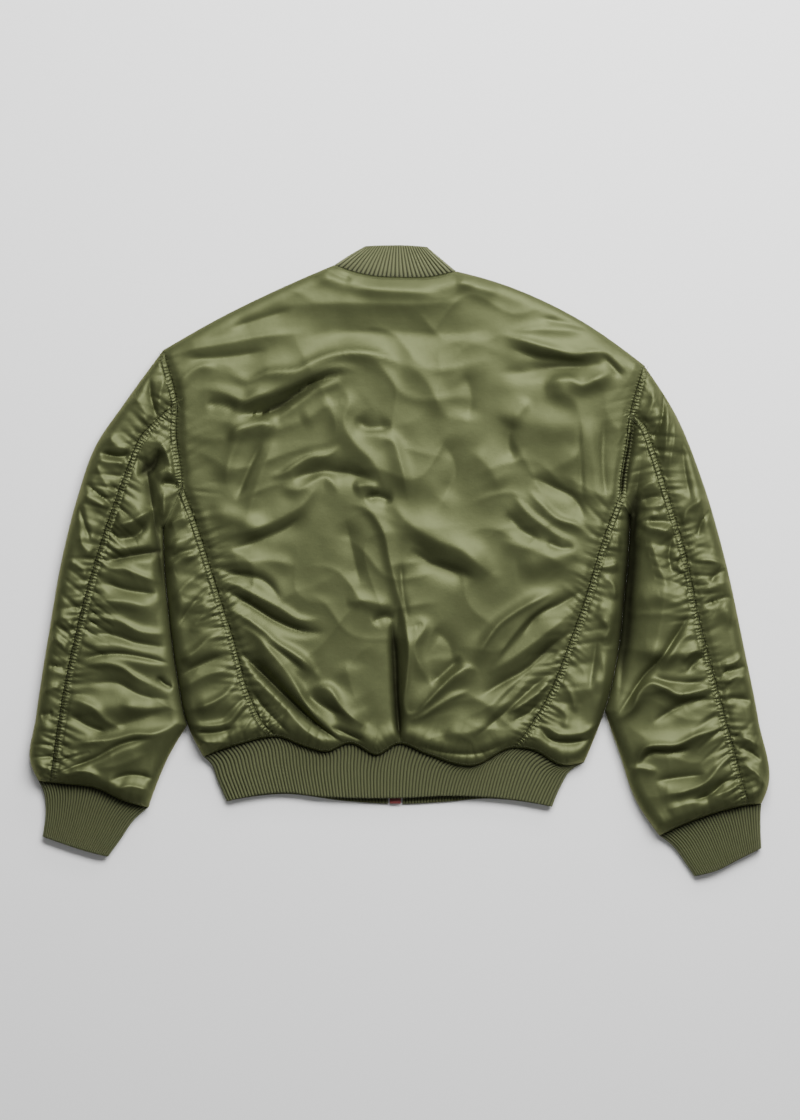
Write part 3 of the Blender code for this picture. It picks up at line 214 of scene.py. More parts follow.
# ---------------------------------------------------------------- the largest folds
# path: plan points of the crest or trough; width: to each side; height: above (+) or below (-) the cloth
Fold = namedtuple("Fold", "path width height")
FOLDS = [Fold(*row) for row in (
    # centre back
    (((0, -40), (-4, -105), (-3, -170), (-2, -236)), 16, -6.5),
    (((14, -70), (10, -140), (9, -215)), 17, 5.5),
    (((6, 48), (62, 29), (112, -21)), 22, 5.0),
    (((6, 32), (50, -3), (84, -30)), 18, -3.0),
    (((-60, 160), (-10, 120), (60, 90)), 30, 3.5),
    # upper back
    (((-196, 231), (-131, 244), (-60, 265), (-6, 251)), 15, 5.0),
    (((-258, 214), (-205, 204), (-131, 231), (-45, 237)), 14, 4.5),
    (((-205, 182), (-141, 203), (-99, 232), (-67, 237)), 13, -4.0),
    (((-216, 152), (-205, 167), (-156, 171)), 14, 4.5),
    (((-120, 291), (0, 292), (90, 286)), 26, -3.5),
    (((134, 285), (207, 268), (250, 267), (275, 261)), 14, 4.5),
    (((184, 218), (229, 225), (275, 241)), 14, 4.5),
    (((150, 250), (200, 246), (262, 252)), 12, -3.5),
    (((120, 190), (180, 170), (240, 175)), 22, 3.0),
    # lower back, fanning out from the princess seams
    (((-190, -104), (-161, -140), (-131, -173), (-79, -222)), 11, 5.5),
    (((-202, -115), (-161, -152), (-131, -187), (-79, -231)), 9, -4.5),
    (((-183, -102), (-145, -121), (-111, -145)), 13, 5.0),
    (((-111, -164), (-79, -180), (-45, -211)), 13, 5.0),
    (((-222, 10), (-180, -20), (-150, -60)), 16, 4.0),
    (((-244, 60), (-205, 52), (-170, 30)), 13, 4.0),
    (((209, -40), (159, -65), (100, -118), (74, -140)), 14, 5.5),
    (((213, -107), (172, -139), (120, -190)), 13, -5.0),
    (((100, -139), (50, -163), (20, -199)), 13, 5.0),
    (((230, 20), (190, 0), (150, -10)), 15, 4.0),
    (((175, -150), (120, -200), (60, -235)), 15, 4.5),
    # side backs
    (((-292, 20), (-262, 5)), 10, 3.5),
    (((-290, -60), (-240, -50)), 12, 4.0),
    (((-280, -130), (-226, -110)), 12, 4.0),
    (((-262, -190), (-205, -180)), 13, 4.5),
    (((284, 20), (262, 20)), 10, 3.5),
    (((282, -70), (250, -60)), 12, 3.5),
    (((262, -150), (215, -170)), 13, 4.0),
    (((240, -215), (190, -225)), 12, 4.0),
    # left sleeve
    (((-346, 139), (-326, 122), (-302, 105)), 12, -5.0),
    (((-333, 112), (-282, 107)), 9, 4.0),
    (((-368, 43), (-335, 55), (-321, 67)), 13, 5.0),
    (((-382, -2), (-343, 6), (-304, 12)), 10, -4.0),
    (((-408, 98), (-363, 69)), 11, 4.0),
    (((-413, 82), (-394, 17)), 11, 4.0),
    (((-410, -115), (-355, -123), (-290, -136)), 13, 5.0),
    (((-397, -69), (-373, -57), (-310, -70)), 12, 4.0),
    (((-425, -266), (-381, -251), (-330, -233), (-277, -212)), 14, 5.5),
    (((-430, -180), (-380, -190), (-320, -175)), 13, 4.5),
    (((-400, -225), (-340, -205), (-290, -190)), 10, -3.5),
    # right sleeve
    (((272, -202), (294, -182), (327, -161), (373, -173), (400, -161)), 13, 5.5),
    (((294, -259), (317, -236), (358, -231), (413, -213)), 13, 5.0),
    (((330, 195), (340, 150)), 11, 4.0),
    (((300, 20), (330, 40), (352, 30)), 12, 4.5),
    (((296, -60), (335, -45), (372, -60)), 13, 4.5),
    (((300, -110), (340, -120), (392, -105)), 12, 4.0),
    (((375, 90), (392, 40)), 11, 3.5),
    (((330, -300), (385, -285), (430, -270)), 12, 4.5),
    (((405, -60), (430, -75)), 12, 3.5),
)]

# ---------------------------------------------------------------- smaller folds and creases
# path: x, y, x, y and so on in squares of the laying-out grid, counted from its top left corner; width: mm
# to each side; height: mm above (+) or below (-) the cloth; lean: above 0, steeper on the left of the path.
GRID = 1.28
GRID_MIDDLE = (399.5, 559.5)
Crease = namedtuple("Crease", "path width height lean", defaults=(0.0,))
CREASES = [Crease(*row) for row in (
    # below the collar and along the shoulders
    ((285, 305, 330, 303, 420, 304, 470, 300), 17, 3.2, -0.2),
    ((286, 338, 350, 334, 424, 336, 500, 330), 22, -0.9),
    ((350, 288, 400, 291, 440, 294), 9, 1.6, 0.2),
    ((172, 355, 197, 348, 226, 343, 250, 338, 299, 333), 10, 2.6, 0.5),
    ((185, 357, 211, 358, 240, 355, 268, 350), 11, -2.4),
    ((230, 328, 262, 318, 292, 309), 9, -1.8, 0.3),
    ((177, 389, 189, 373, 204, 366, 216, 369), 8, 2.0, 0.3),
    ((326, 270, 340, 276, 352, 280), 8, -1.8),
    ((455, 280, 476, 287, 500, 292), 12, 2.2),
    ((510, 331, 545, 329, 588, 331), 9, 2.4, 0.3),
    ((502, 335, 528, 342, 555, 350, 574, 355, 593, 352, 612, 353), 8, 3.2, 0.5),
    ((510, 347, 536, 357, 562, 360, 588, 362), 12, -3.0, -0.2),
    ((500, 372, 530, 372, 560, 366, 590, 368), 15, -2.6),
    ((545, 390, 555, 381, 569, 379, 581, 385, 597, 378, 612, 370), 8, 3.0, 0.4),
    ((600, 354, 610, 364, 621, 377), 6, -1.8),
    ((605, 352, 616, 362, 626, 372), 6, 1.4),
    ((540, 318, 560, 322, 588, 330), 8, -1.6),
    # upper back, the S of folds on the left
    ((229, 373, 246, 379, 270, 372, 299, 369, 310, 363, 324, 357, 356, 352, 380, 355, 404, 366),
           8, 3.4, 0.6),
    ((199, 390, 214, 390, 228, 394, 243, 401, 260, 396, 284, 388, 312, 377, 339, 368, 363, 371),
           8, 3.2, -0.4),
    ((236, 412, 250, 414, 266, 412, 282, 404, 296, 393, 310, 383, 326, 376, 344, 373), 8, -4.6, -0.3),
    ((277, 418, 290, 408, 304, 398, 317, 389, 331, 384, 343, 381), 7, 3.0, 0.6),
    ((205, 404, 222, 404, 238, 410), 9, -2.4),
    ((229, 443, 236, 431, 248, 426, 265, 423, 278, 428), 7, 3.0, 0.5),
    ((241, 434, 230, 458, 225, 484), 11, 2.8, 0.2),
    ((262, 440, 248, 470, 236, 500), 9, -2.4, 0.2),
    ((276, 440, 262, 470, 252, 500, 246, 520), 12, 2.6),
    ((337, 384, 349, 400, 343, 420, 354, 443, 371, 460, 385, 490), 15, 3.2, 0.3),
    ((300, 420, 318, 410, 332, 400), 12, 2.4),
    ((354, 418, 370, 428, 391, 424), 12, -3.0),
    ((358, 437, 375, 434, 391, 440, 400, 462, 407, 498), 11, 3.2, 0.3),
    ((270, 476, 283, 473, 295, 465, 310, 457, 326, 455, 340, 446), 7, 3.0, 0.6),
    ((292, 478, 318, 472, 345, 472, 374, 480), 15, -4.6, 0.2),
    ((280, 486, 299, 489, 315, 480, 323, 476, 337, 492), 9, 2.8, 0.3),
    ((352, 487, 366, 485, 380, 490), 8, 3.0, 0.5),
    ((364, 498, 378, 496, 392, 502), 9, -4.0),
    # middle of the back
    ((400, 360, 424, 378, 438, 402, 448, 414), 16, 2.6, 0.2),
    ((462, 372, 470, 395, 466, 420), 18, -2.4),
    ((514, 415, 508, 440, 514, 462), 16, -2.8),
    ((540, 394, 560, 394, 574, 402, 580, 425, 579, 450, 562, 464, 545, 472), 16, 3.0, -0.2),
    ((530, 400, 518, 412, 508, 428), 11, 2.2, 0.3),
    ((578, 412, 579, 447, 582, 500), 6, -1.6, 0.3),
    ((590, 415, 592, 455, 598, 505), 12, 1.4, 0.2),
    ((604, 420, 602, 460, 606, 500), 8, -1.8),
    ((530, 476, 552, 486, 574, 498, 584, 520), 12, -3.6, 0.2),
    ((440, 440, 455, 470, 440, 500), 22, -2.2),
    ((470, 450, 490, 470, 500, 490), 18, 2.4),
    ((391, 499, 405, 520, 422, 533, 441, 543, 460, 550, 480, 566, 500, 580), 17, 3.6, 0.3),
    ((410, 548, 430, 562, 450, 569, 476, 578), 15, -3.8, 0.2),
    ((500, 540, 525, 548, 548, 556, 566, 568), 14, 3.0, 0.3),
    ((514, 495, 525, 510, 543, 525, 562, 537, 572, 540), 8, 3.0, 0.5),
    ((528, 490, 545, 508, 560, 520, 575, 525, 585, 532), 7, 2.8, 0.5),
    ((505, 512, 522, 530, 540, 540), 11, -2.6),
    ((545, 540, 562, 548, 574, 546), 9, -2.6),
    ((350, 504, 365, 508, 381, 527, 390, 562, 396, 585, 403, 612, 407, 642), 10, 3.8, -0.4),
    ((400, 560, 402, 590, 408, 620), 8, -2.6, 0.3),
    ((345, 520, 352, 550, 360, 585), 18, -2.4),
    ((346, 603, 362, 600, 379, 604, 393, 606), 10, 3.0, -0.3),
    ((372, 622, 384, 616, 394, 618), 9, -2.6),
    ((391, 622, 394, 650, 396, 690, 398, 720, 400, 748), 6, -7.5),
    ((404, 620, 408, 650, 406, 680, 404, 708, 409, 717), 6, 3.2, 0.4),
    ((414, 617, 424, 624, 414, 644, 421, 668, 431, 682), 10, 3.0, 0.2),
    ((432, 630, 446, 640, 452, 660), 18, -2.2),
    # where the sleeves lie against the body and its armhole folds over them
    ((634, 412, 630, 440, 624, 470, 620, 502), 7, -7.0),
    ((641, 455, 635, 500, 630, 560, 626, 620, 618, 700), 19, -8.0),
    ((144, 452, 151, 500, 158, 545, 166, 610), 11, -5.0),
    # lower left, fanning out from the seam
    ((218, 536, 247, 531, 277, 520, 300, 506, 320, 482), 14, 4.0, -0.3),
    ((232, 550, 262, 538, 289, 526, 306, 512), 13, -3.4),
    ((240, 562, 268, 560, 296, 566), 12, 2.2, 0.2),
    ((216, 568, 238, 574, 262, 579, 280, 598), 9, -3.4, 0.2),
    ((220, 580, 237, 585, 258, 596, 281, 608, 300, 619, 318, 619), 8, 3.6, 0.5),
    ((224, 589, 251, 605, 277, 621, 300, 630, 322, 632), 8, -4.6),
    ((226, 608, 241, 615, 262, 629, 277, 642, 300, 657, 320, 678), 7, 3.6, 0.4),
    ((262, 640, 285, 655, 306, 672), 8, -2.6),
    ((235, 623, 254, 634, 277, 659, 293, 680, 306, 703, 319, 721, 344, 735), 9, 4.0, 0.4),
    ((300, 690, 320, 704, 345, 716), 11, -2.8, 0.2),
    ((238, 650, 262, 673, 285, 696, 308, 717, 327, 732, 346, 744), 6, -5.5),
    ((247, 669, 262, 684, 285, 707, 304, 728, 327, 744), 8, 3.2, 0.3),
    ((250, 690, 268, 712, 290, 734), 7, -2.6),
    ((312, 688, 327, 687, 342, 708, 358, 721, 368, 727), 8, 3.6, 0.5),
    ((330, 726, 346, 733, 364, 741), 6, -3.2),
    ((345, 660, 352, 690, 360, 708), 16, 2.0),
    # lower right
    ((552, 592, 531, 602, 514, 612, 499, 623, 487, 638, 478, 654), 7, 3.4, 0.5),
    ((552, 601, 533, 613, 518, 628, 502, 648, 491, 665), 7, 2.8, 0.4),
    ((582, 590, 558, 604, 537, 614, 522, 634), 8, -3.0),
    ((571, 612, 552, 627, 533, 642, 514, 656, 487, 673), 12, 3.8),
    ((570, 632, 548, 648, 525, 669, 499, 684, 480, 696), 9, -4.2, 0.2),
    ((556, 659, 539, 664, 514, 682, 487, 706, 462, 718), 12, 3.4),
    ((553, 670, 533, 686, 502, 714, 474, 736), 10, -3.6, 0.2),
    ((550, 680, 533, 696, 518, 706, 506, 712), 6, 3.2, 0.4),
    ((405, 713, 414, 713, 426, 702, 439, 688, 455, 673, 466, 667, 476, 670), 6, 3.6, 0.5),
    ((409, 720, 420, 716, 437, 705, 453, 696, 468, 690), 6, 3.0, 0.4),
    ((430, 684, 446, 670, 460, 656), 10, -3.2),
    ((440, 728, 466, 732, 496, 722), 15, 3.0),
    ((414, 744, 446, 752, 480, 752, 506, 742), 9, -3.0),
    ((512, 720, 528, 712, 541, 700), 8, -3.0),
    # between the body's seams and its sides
    ((166, 525, 178, 519, 189, 517), 6, 2.4, 0.3),
    ((165, 548, 178, 541, 193, 537), 6, 2.6, 0.3),
    ((168, 560, 182, 552, 198, 548), 6, -2.2),
    ((166, 571, 182, 558, 202, 554), 6, 2.4, 0.4),
    ((172, 600, 190, 580, 207, 567), 7, 2.4, 0.2),
    ((178, 625, 196, 600, 212, 584), 7, -2.4),
    ((190, 632, 206, 612, 220, 602), 7, 2.4, 0.2),
    ((176, 661, 193, 652, 209, 638, 224, 632), 8, 3.8, 0.3),
    ((178, 676, 200, 664, 226, 654), 8, -2.8),
    ((178, 690, 204, 676, 230, 668), 8, 2.4, 0.2),
    ((190, 710, 209, 703, 226, 692, 238, 677), 7, 3.2, 0.3),
    ((188, 724, 210, 725, 228, 721, 241, 706, 250, 697), 6, 3.4, 0.4),
    ((192, 731, 214, 732, 236, 726), 6, -2.8),
    ((195, 738, 212, 742, 232, 742), 6, 2.8, 0.3),
    ((596, 566, 608, 566, 618, 562), 7, 3.2, 0.3),
    ((600, 577, 610, 581, 615, 600), 6, 2.6, 0.3),
    ((598, 617, 608, 627, 600, 642), 8, 3.4),
    ((596, 636, 593, 661, 588, 690), 9, -2.4, 0.2),
    ((560, 680, 570, 694, 575, 712), 6, 2.6, 0.2),
    ((556, 706, 566, 716, 562, 728), 8, 2.6),
    ((539, 724, 548, 738, 564, 742, 592, 737), 6, -2.8, 0.2),
    ((541, 718, 556, 732, 578, 733, 600, 722), 6, 2.8, 0.2),
    ((600, 650, 604, 680, 596, 712), 9, 2.2),
    # left sleeve
    ((131, 394, 144, 410, 148, 424), 8, 2.6),
    ((150, 378, 151, 397, 158, 418), 6, -3.0),
    ((166, 376, 160, 396, 160, 410), 6, 2.4, 0.2),
    ((108, 432, 118, 446, 131, 449), 8, 3.0, 0.2),
    ((100, 452, 115, 456, 133, 454), 6, -4.2),
    ((95, 459, 110, 461, 128, 463), 6, 3.2, 0.5),
    ((95, 461, 101, 474, 112, 490), 6, 2.4, 0.3),
    ((84, 482, 98, 493, 112, 504), 6, -3.4),
    ((79, 491, 95, 501, 110, 509), 7, 3.0, 0.4),
    ((79, 503, 84, 521, 91, 541), 6, -2.8),
    ((80, 532, 86, 548, 98, 551), 6, 3.0, 0.3),
    ((66, 560, 80, 566, 90, 578), 6, 2.4, 0.2),
    ((158, 448, 154, 464, 137, 476), 10, -6.5),
    ((147, 440, 160, 442, 169, 460, 173, 476), 6, 3.4),
    ((154, 476, 165, 470, 178, 479), 6, 3.4, 0.5),
    ((160, 483, 170, 483, 180, 487), 6, -3.6),
    ((165, 490, 164, 505, 166, 520), 6, 2.8),
    ((113, 525, 128, 522, 144, 514, 156, 507), 6, 3.8, 0.4),
    ((116, 537, 134, 536, 148, 522), 8, -4.0, -0.2),
    ((108, 549, 128, 548, 150, 545), 7, 2.4),
    ((103, 561, 128, 556, 164, 550), 6, -3.2),
    ((100, 571, 121, 568, 144, 576, 162, 582), 7, 3.2, 0.3),
    ((101, 580, 121, 588, 158, 593), 8, -3.6),
    ((92, 602, 116, 600, 150, 606), 8, 2.6, 0.2),
    ((93, 617, 118, 620, 141, 631, 168, 633), 8, 3.2, 0.4),
    ((88, 632, 110, 634, 136, 642, 166, 646), 8, -2.6),
    ((84, 646, 110, 643, 134, 648), 8, 2.2, 0.2),
    ((80, 658, 114, 653, 150, 658, 171, 663), 6, -3.8),
    ((77, 669, 96, 663, 123, 667, 136, 676, 156, 686), 7, 3.2, 0.5),
    ((157, 676, 164, 683, 173, 687), 6, -3.4),
    ((90, 684, 116, 682, 140, 694, 168, 698), 9, -2.4),
    ((70, 697, 93, 706, 107, 720, 125, 729), 8, 3.0, 0.4),
    ((120, 704, 144, 708, 170, 706), 9, 2.6, 0.2),
    ((70, 714, 90, 726, 108, 732), 7, -2.6),
    ((57, 744, 88, 741, 114, 738, 136, 733, 152, 733, 180, 721), 7, 4.0, 0.2),
    ((68, 767, 96, 757, 123, 743, 154, 737), 6, -4.2, -0.2),
    ((52, 758, 66, 754, 80, 751), 6, 2.4, 0.2),
    ((61, 776, 86, 770, 102, 777), 7, 3.0, 0.4),
    ((96, 768, 120, 764, 146, 752), 10, 2.6),
    ((111, 792, 127, 785, 152, 791), 6, 3.0, 0.4),
    ((110, 780, 130, 774, 154, 778), 6, -2.6),
    ((55, 613, 75, 626), 6, 2.6, 0.2),
    ((54, 622, 72, 636), 6, -2.4),
    ((50, 634, 70, 649), 6, 2.6, 0.2),
    ((47, 665, 68, 666), 6, -2.2),
    ((42, 690, 62, 685), 6, 2.4, 0.2),
    ((40, 715, 54, 712), 6, -2.2),
    # right sleeve
    ((659, 383, 662, 399, 659, 426, 650, 442), 6, -4.0),
    ((669, 402, 666, 426, 664, 451, 662, 463), 6, 3.4),
    ((676, 406, 673, 437, 667, 470), 6, 3.2, -0.3),
    ((652, 388, 650, 407, 640, 424), 6, 2.8),
    ((681, 440, 684, 470, 690, 500), 10, -3.0, 0.3),
    ((708, 495, 696, 502, 686, 509, 682, 526), 7, 3.8, -0.4),
    ((712, 506, 703, 517, 696, 537), 6, -3.2),
    ((634, 497, 645, 485, 659, 480), 6, 3.0, 0.3),
    ((640, 500, 652, 497, 664, 498), 6, -2.8),
    ((638, 506, 652, 506, 664, 504), 6, 2.6, 0.3),
    ((634, 521, 645, 516, 658, 514), 6, 3.2, 0.3),
    ((646, 520, 658, 521, 670, 521), 6, -3.2),
    ((638, 523, 655, 528, 672, 531), 6, 3.2, 0.4),
    ((650, 540, 656, 562, 668, 588), 9, 3.0),
    ((672, 536, 668, 552, 672, 574), 7, -2.8),
    ((674, 566, 683, 570, 690, 578), 6, 2.8, 0.2),
    ((693, 561, 708, 560, 727, 567), 6, 3.2, 0.4),
    ((708, 583, 718, 572, 727, 568), 6, -2.8),
    ((700, 590, 716, 584, 732, 582), 6, 2.4, 0.2),
    ((704, 606, 720, 598, 734, 596), 6, -2.4),
    ((664, 575, 660, 620, 650, 662), 13, 2.6),
    ((689, 612, 675, 636, 660, 658, 645, 673, 632, 692, 617, 714), 7, -4.8, 0.2),
    ((699, 629, 680, 639, 669, 654, 660, 670), 8, 3.4),
    ((706, 649, 692, 651, 680, 662), 6, 3.0, 0.3),
    ((705, 655, 694, 662, 686, 672), 6, -2.8),
    ((650, 676, 670, 681, 706, 680), 6, -3.0),
    ((615, 720, 632, 706, 639, 689, 649, 682, 663, 686, 676, 693, 692, 691, 713, 685), 6, 4.2, 0.5),
    ((652, 722, 673, 708, 688, 701, 714, 699), 9, -3.6),
    ((634, 768, 645, 746, 658, 744, 673, 744, 695, 734, 724, 727), 6, 4.0, 0.4),
    ((640, 762, 650, 752, 668, 752, 690, 748), 6, -3.0),
    ((622, 772, 636, 767, 656, 771), 6, 3.2, 0.5),
    ((655, 780, 684, 776, 706, 774), 8, -3.4),
    ((663, 794, 684, 790, 704, 781, 715, 768, 729, 754), 7, 3.8, 0.3),
    ((690, 799, 710, 793, 722, 782, 738, 776), 6, -3.0),
    ((706, 796, 725, 790, 742, 780), 6, 3.2, 0.4),
    ((665, 809, 684, 803, 700, 800), 8, 2.6, 0.2),
    ((719, 664, 734, 661, 744, 652), 6, 3.0, 0.4),
    ((720, 672, 736, 668, 746, 664), 6, -2.6),
    ((722, 682, 738, 676, 750, 676), 6, 2.6, 0.2),
    ((725, 697, 740, 698, 752, 701), 6, -2.6),
    ((738, 734, 748, 739, 759, 745), 6, 2.8, 0.3),
    ((736, 746, 750, 752, 760, 760), 6, -2.4),
    ((743, 764, 757, 774, 766, 788), 6, 3.2, 0.3),
)]


# ---------------------------------------------------------------- curves in plan
def lengths(line):
    """The way along a polyline to each of its vertices."""
    return np.r_[0, np.cumsum(np.linalg.norm(np.diff(line, axis=0), axis=1))]


def smooth(points, step=4.0):
    """A smooth polyline through the given points, with about one vertex every step."""
    points = np.array(points, float)
    length = lengths(points)
    if len(points) == 2:
        slopes = np.repeat((points[1:] - points[:1]) / length[-1], 2, axis=0)
    else:
        pieces = np.diff(points, axis=0) / np.diff(length)[:, None]
        gaps = np.diff(length)
        weighted = pieces[:-1] * gaps[1:, None] + pieces[1:] * gaps[:-1, None]
        middle = weighted / (gaps[1:] + gaps[:-1])[:, None]
        first = 1.5 * pieces[:1] - 0.5 * middle[:1]
        last = 1.5 * pieces[-1:] - 0.5 * middle[-1:]
        slopes = np.vstack([first, middle, last])
    out = []
    for i in range(len(points) - 1):
        span = length[i + 1] - length[i]
        count = max(2, int(round(span / step)))
        t = (np.arange(count) / count)[:, None]
        out.append((2 * t**3 - 3 * t**2 + 1) * points[i] + (t**3 - 2 * t**2 + t) * span * slopes[i]
                   + (3 * t**2 - 2 * t**3) * points[i + 1] + (t**3 - t**2) * span * slopes[i + 1])
    out.append(points[-1:])
    return np.vstack(out)


def sample(line, fractions):
    """Points of a polyline at fractions of its length."""
    length = lengths(line)
    fractions = np.asarray(fractions) * length[-1]
    return np.column_stack([np.interp(fractions, length, line[:, k]) for k in (0, 1)])


def graded(count, start=0.0, end=0.0):
    """Fractions 0..1 in count steps, closer together towards a start or an end."""
    t = np.linspace(0, 1, 2001)
    density = 1 + start * np.exp(-t / 0.05) + end * np.exp((t - 1) / 0.05)
    total = np.r_[0, np.cumsum((density[1:] + density[:-1]) / 2)]
    return np.interp(np.linspace(0, total[-1], count + 1), total, t)


def nearest(points, lines, reach=np.inf):
    """Distance to the nearest of some polylines, and the unit direction away, eased round their corners.

    Points farther off than reach may get any distance from reach upwards.
    """
    start = np.vstack([line[:-1] for line in lines])
    run = np.vstack([np.diff(line, axis=0) for line in lines])
    size = (run**2).sum(1)
    low = np.minimum(start, start + run)
    high = np.maximum(start, start + run)
    best = np.full(len(points), float(min(reach, 1e4)))
    away = np.zeros((len(points), 2))
    for first in range(0, len(points), 2048):
        block = points[first:first + 2048]
        near = ((low < block.max(0) + reach) & (high > block.min(0) - reach)).all(1)
        if not near.any():
            continue
        offset = block[:, None] - start[None, near]
        t = np.clip((offset * run[near]).sum(2) / size[near], 0, 1)
        offset = offset - t[..., None] * run[near]
        distance = np.maximum(np.sqrt((offset**2).sum(2)), 1e-6)
        least = distance.min(1)
        weight = np.exp(-(distance - least[:, None]) / CORNER_SOFTNESS) / distance
        direction = (offset * weight[..., None]).sum(1)
        best[first:first + 2048] = least
        away[first:first + 2048] = direction / np.maximum(np.linalg.norm(direction, axis=1), 1e-9)[:, None]
    return best, away


def along(points, line, reach):
    """For points within reach of a line: which they are, their distance, side and place along it in mm,
    and the line's length. The side runs from -1 to 1, and is less than that past the line's ends."""
    inside = ((points > line.min(0) - reach) & (points < line.max(0) + reach)).all(1)
    chosen = np.nonzero(inside)[0]
    run = np.diff(line, axis=0)
    size = (run**2).sum(1)
    length = np.r_[0, np.cumsum(np.sqrt(size))]
    distance = np.empty(len(chosen))
    side = np.empty(len(chosen))
    place = np.empty(len(chosen))
    for first in range(0, len(chosen), 4096):
        part = slice(first, first + 4096)
        offset = points[chosen[part]][:, None] - line[None, :-1]
        t = np.clip((offset * run).sum(2) / size, 0, 1)
        offset = offset - t[..., None] * run
        square = (offset**2).sum(2)
        k = square.argmin(1)
        row = np.arange(len(k))
        distance[part] = np.sqrt(square[row, k])
        cross = run[k, 0] * offset[row, k, 1] - run[k, 1] * offset[row, k, 0]
        side[part] = cross / np.maximum(np.sqrt(size[k]) * distance[part], 1e-6)
        place[part] = length[k] + t[row, k] * np.sqrt(size[k])
    keep = distance < reach
    return chosen[keep], distance[keep], side[keep], place[keep], length[-1]


def smoothstep(low, high, value):
    t = np.clip((value - low) / (high - low), 0, 1)
    return t * t * (3 - 2 * t)


def swell(share):
    """A quarter ellipse: 0 at the edge, where it is upright, and 1 at full height."""
    return np.sqrt(1 - (1 - np.clip(share, 0, 1))**2)


def split(line, point):
    """A polyline cut at the place nearest to a point."""
    point = np.array(point, float)
    run = np.diff(line, axis=0)
    t = np.clip(((point - line[:-1]) * run).sum(1) / (run**2).sum(1), 0, 1)
    near = line[:-1] + t[:, None] * run
    i = int(((near - point)**2).sum(1).argmin())
    cut = near[i]
    first = [p for p in line[:i + 1] if np.linalg.norm(p - cut) > 0.001]
    second = [p for p in line[i + 1:] if np.linalg.norm(p - cut) > 0.001]
    return np.array(first + [cut]), np.array([cut] + second)


def chain(*lines):
    """Polylines joined end to end."""
    return np.vstack([lines[0]] + [line[1:] for line in lines[1:]])


def sleeve_inner(side):
    """The sleeve's inner edge: along the body's side, then free."""
    beside, _ = split(smooth(BODY_SIDE[side]), SLEEVE_FREE[side][0])
    return chain(beside, smooth(SLEEVE_FREE[side]))


SIDES = ("left", "right")
OUTLINE = [smooth(table[side]) for side in SIDES for table in (
    SHOULDER, SLEEVE_OUTER, BODY_SIDE, SLEEVE_FREE, CUFF_OUTER, CUFF_INNER, HEM_SIDE, COLLAR_SIDE)]
BAND_SEAMS = {
    "back": [smooth(HEM_SEAM_BACK), smooth(NECK_SEAM_BACK)] + [smooth(CUFF_SEAM[side]) for side in SIDES],
    "front": [smooth(HEM_SEAM_FRONT), smooth(NECK_SEAM_FRONT)] + [smooth(CUFF_SEAM[side]) for side in SIDES],
}
SEWN = [smooth(table[side]) for table in (ARMHOLE, UNDERARM, SLEEVE_SEAM, PRINCESS) for side in SIDES]


def corner_inward(above, below, seam):
    """The way in from the corner where a band's side meets the outline above it."""
    total = np.zeros(2)
    for run in (above[-1] - above[-2], below[1] - below[0]):
        normal = np.array([-run[1], run[0]]) / np.linalg.norm(run)
        total += normal * np.sign(np.dot(normal, seam[len(seam) // 2] - below[0]))
    return total / np.linalg.norm(total)


def band_corners():
    """Each corner of a band, and the way in from it."""
    corners = []
    for side in SIDES:
        for above, below, seam in (
                (smooth(SHOULDER[side])[::-1], COLLAR_SIDE, NECK_SEAM_BACK),
                (smooth(BODY_SIDE[side]), HEM_SIDE, HEM_SEAM_BACK),
                (smooth(SLEEVE_OUTER[side]), CUFF_OUTER, CUFF_SEAM[side]),
                (smooth(SLEEVE_FREE[side]), CUFF_INNER, CUFF_SEAM[side])):
            band_side = smooth(below[side])
            corners.append((band_side[0], corner_inward(above, band_side, smooth(seam))))
    return corners


CORNERS = band_corners()


# ---------------------------------------------------------------- the padded cloth over the plan
def mix(first, second, share):
    return first + (second - first) * share


Layer = namedtuple("Layer", "outer inner shift full rise")


def layer(points, inward, side, at_outline, is_band):
    """A wall over plan points: outer and inner height, the inside's shift from the outline, how far the
    padding is full there and how far the wall has risen from the outline."""
    edge, away = nearest(points + inward, OUTLINE, BACK_ROLL + 2)
    edge = np.where(at_outline, 0, edge)
    for corner, inwards in CORNERS:
        away[np.linalg.norm(points - corner, axis=1) < 0.01] = inwards
    if is_band:
        full = np.zeros(len(points))
    else:
        full = swell(nearest(points, BAND_SEAMS[side], BLOUSE_REACH + 1)[0] / BLOUSE_REACH)
    fold = mix(RIB_FOLD, FOLD_HEIGHT, full)
    wall = mix(RIB_WALL, SIDE_WALL, full)
    roll = mix(RIB_ROLL, BACK_ROLL if side == "back" else FRONT_ROLL, full)
    rise = np.sin(np.arccos(1 - np.clip(edge / roll, 0, 1)))
    if side == "back":
        x, y = np.abs(points[:, 0]), points[:, 1]
        height = BODY_HEIGHT + SLEEVE_EXTRA * smoothstep(*SLEEVE_FROM, x)
        height -= SHOULDER_LOSS * smoothstep(*SHOULDER_FROM, y)
        outer = fold + (mix(RIB_TOP, height, full) - fold) * rise
        inner = fold + (mix(RIB_BACK_INSIDE, BACK_INSIDE, full) - fold) * rise
    else:
        outer = fold * (1 - rise)
        inner = fold - (fold - mix(RIB_FRONT_INSIDE, FRONT_INSIDE, full)) * rise
    shift = away * (wall * np.sqrt(1 - rise**2))[:, None]
    return Layer(outer, inner, shift, full, rise)


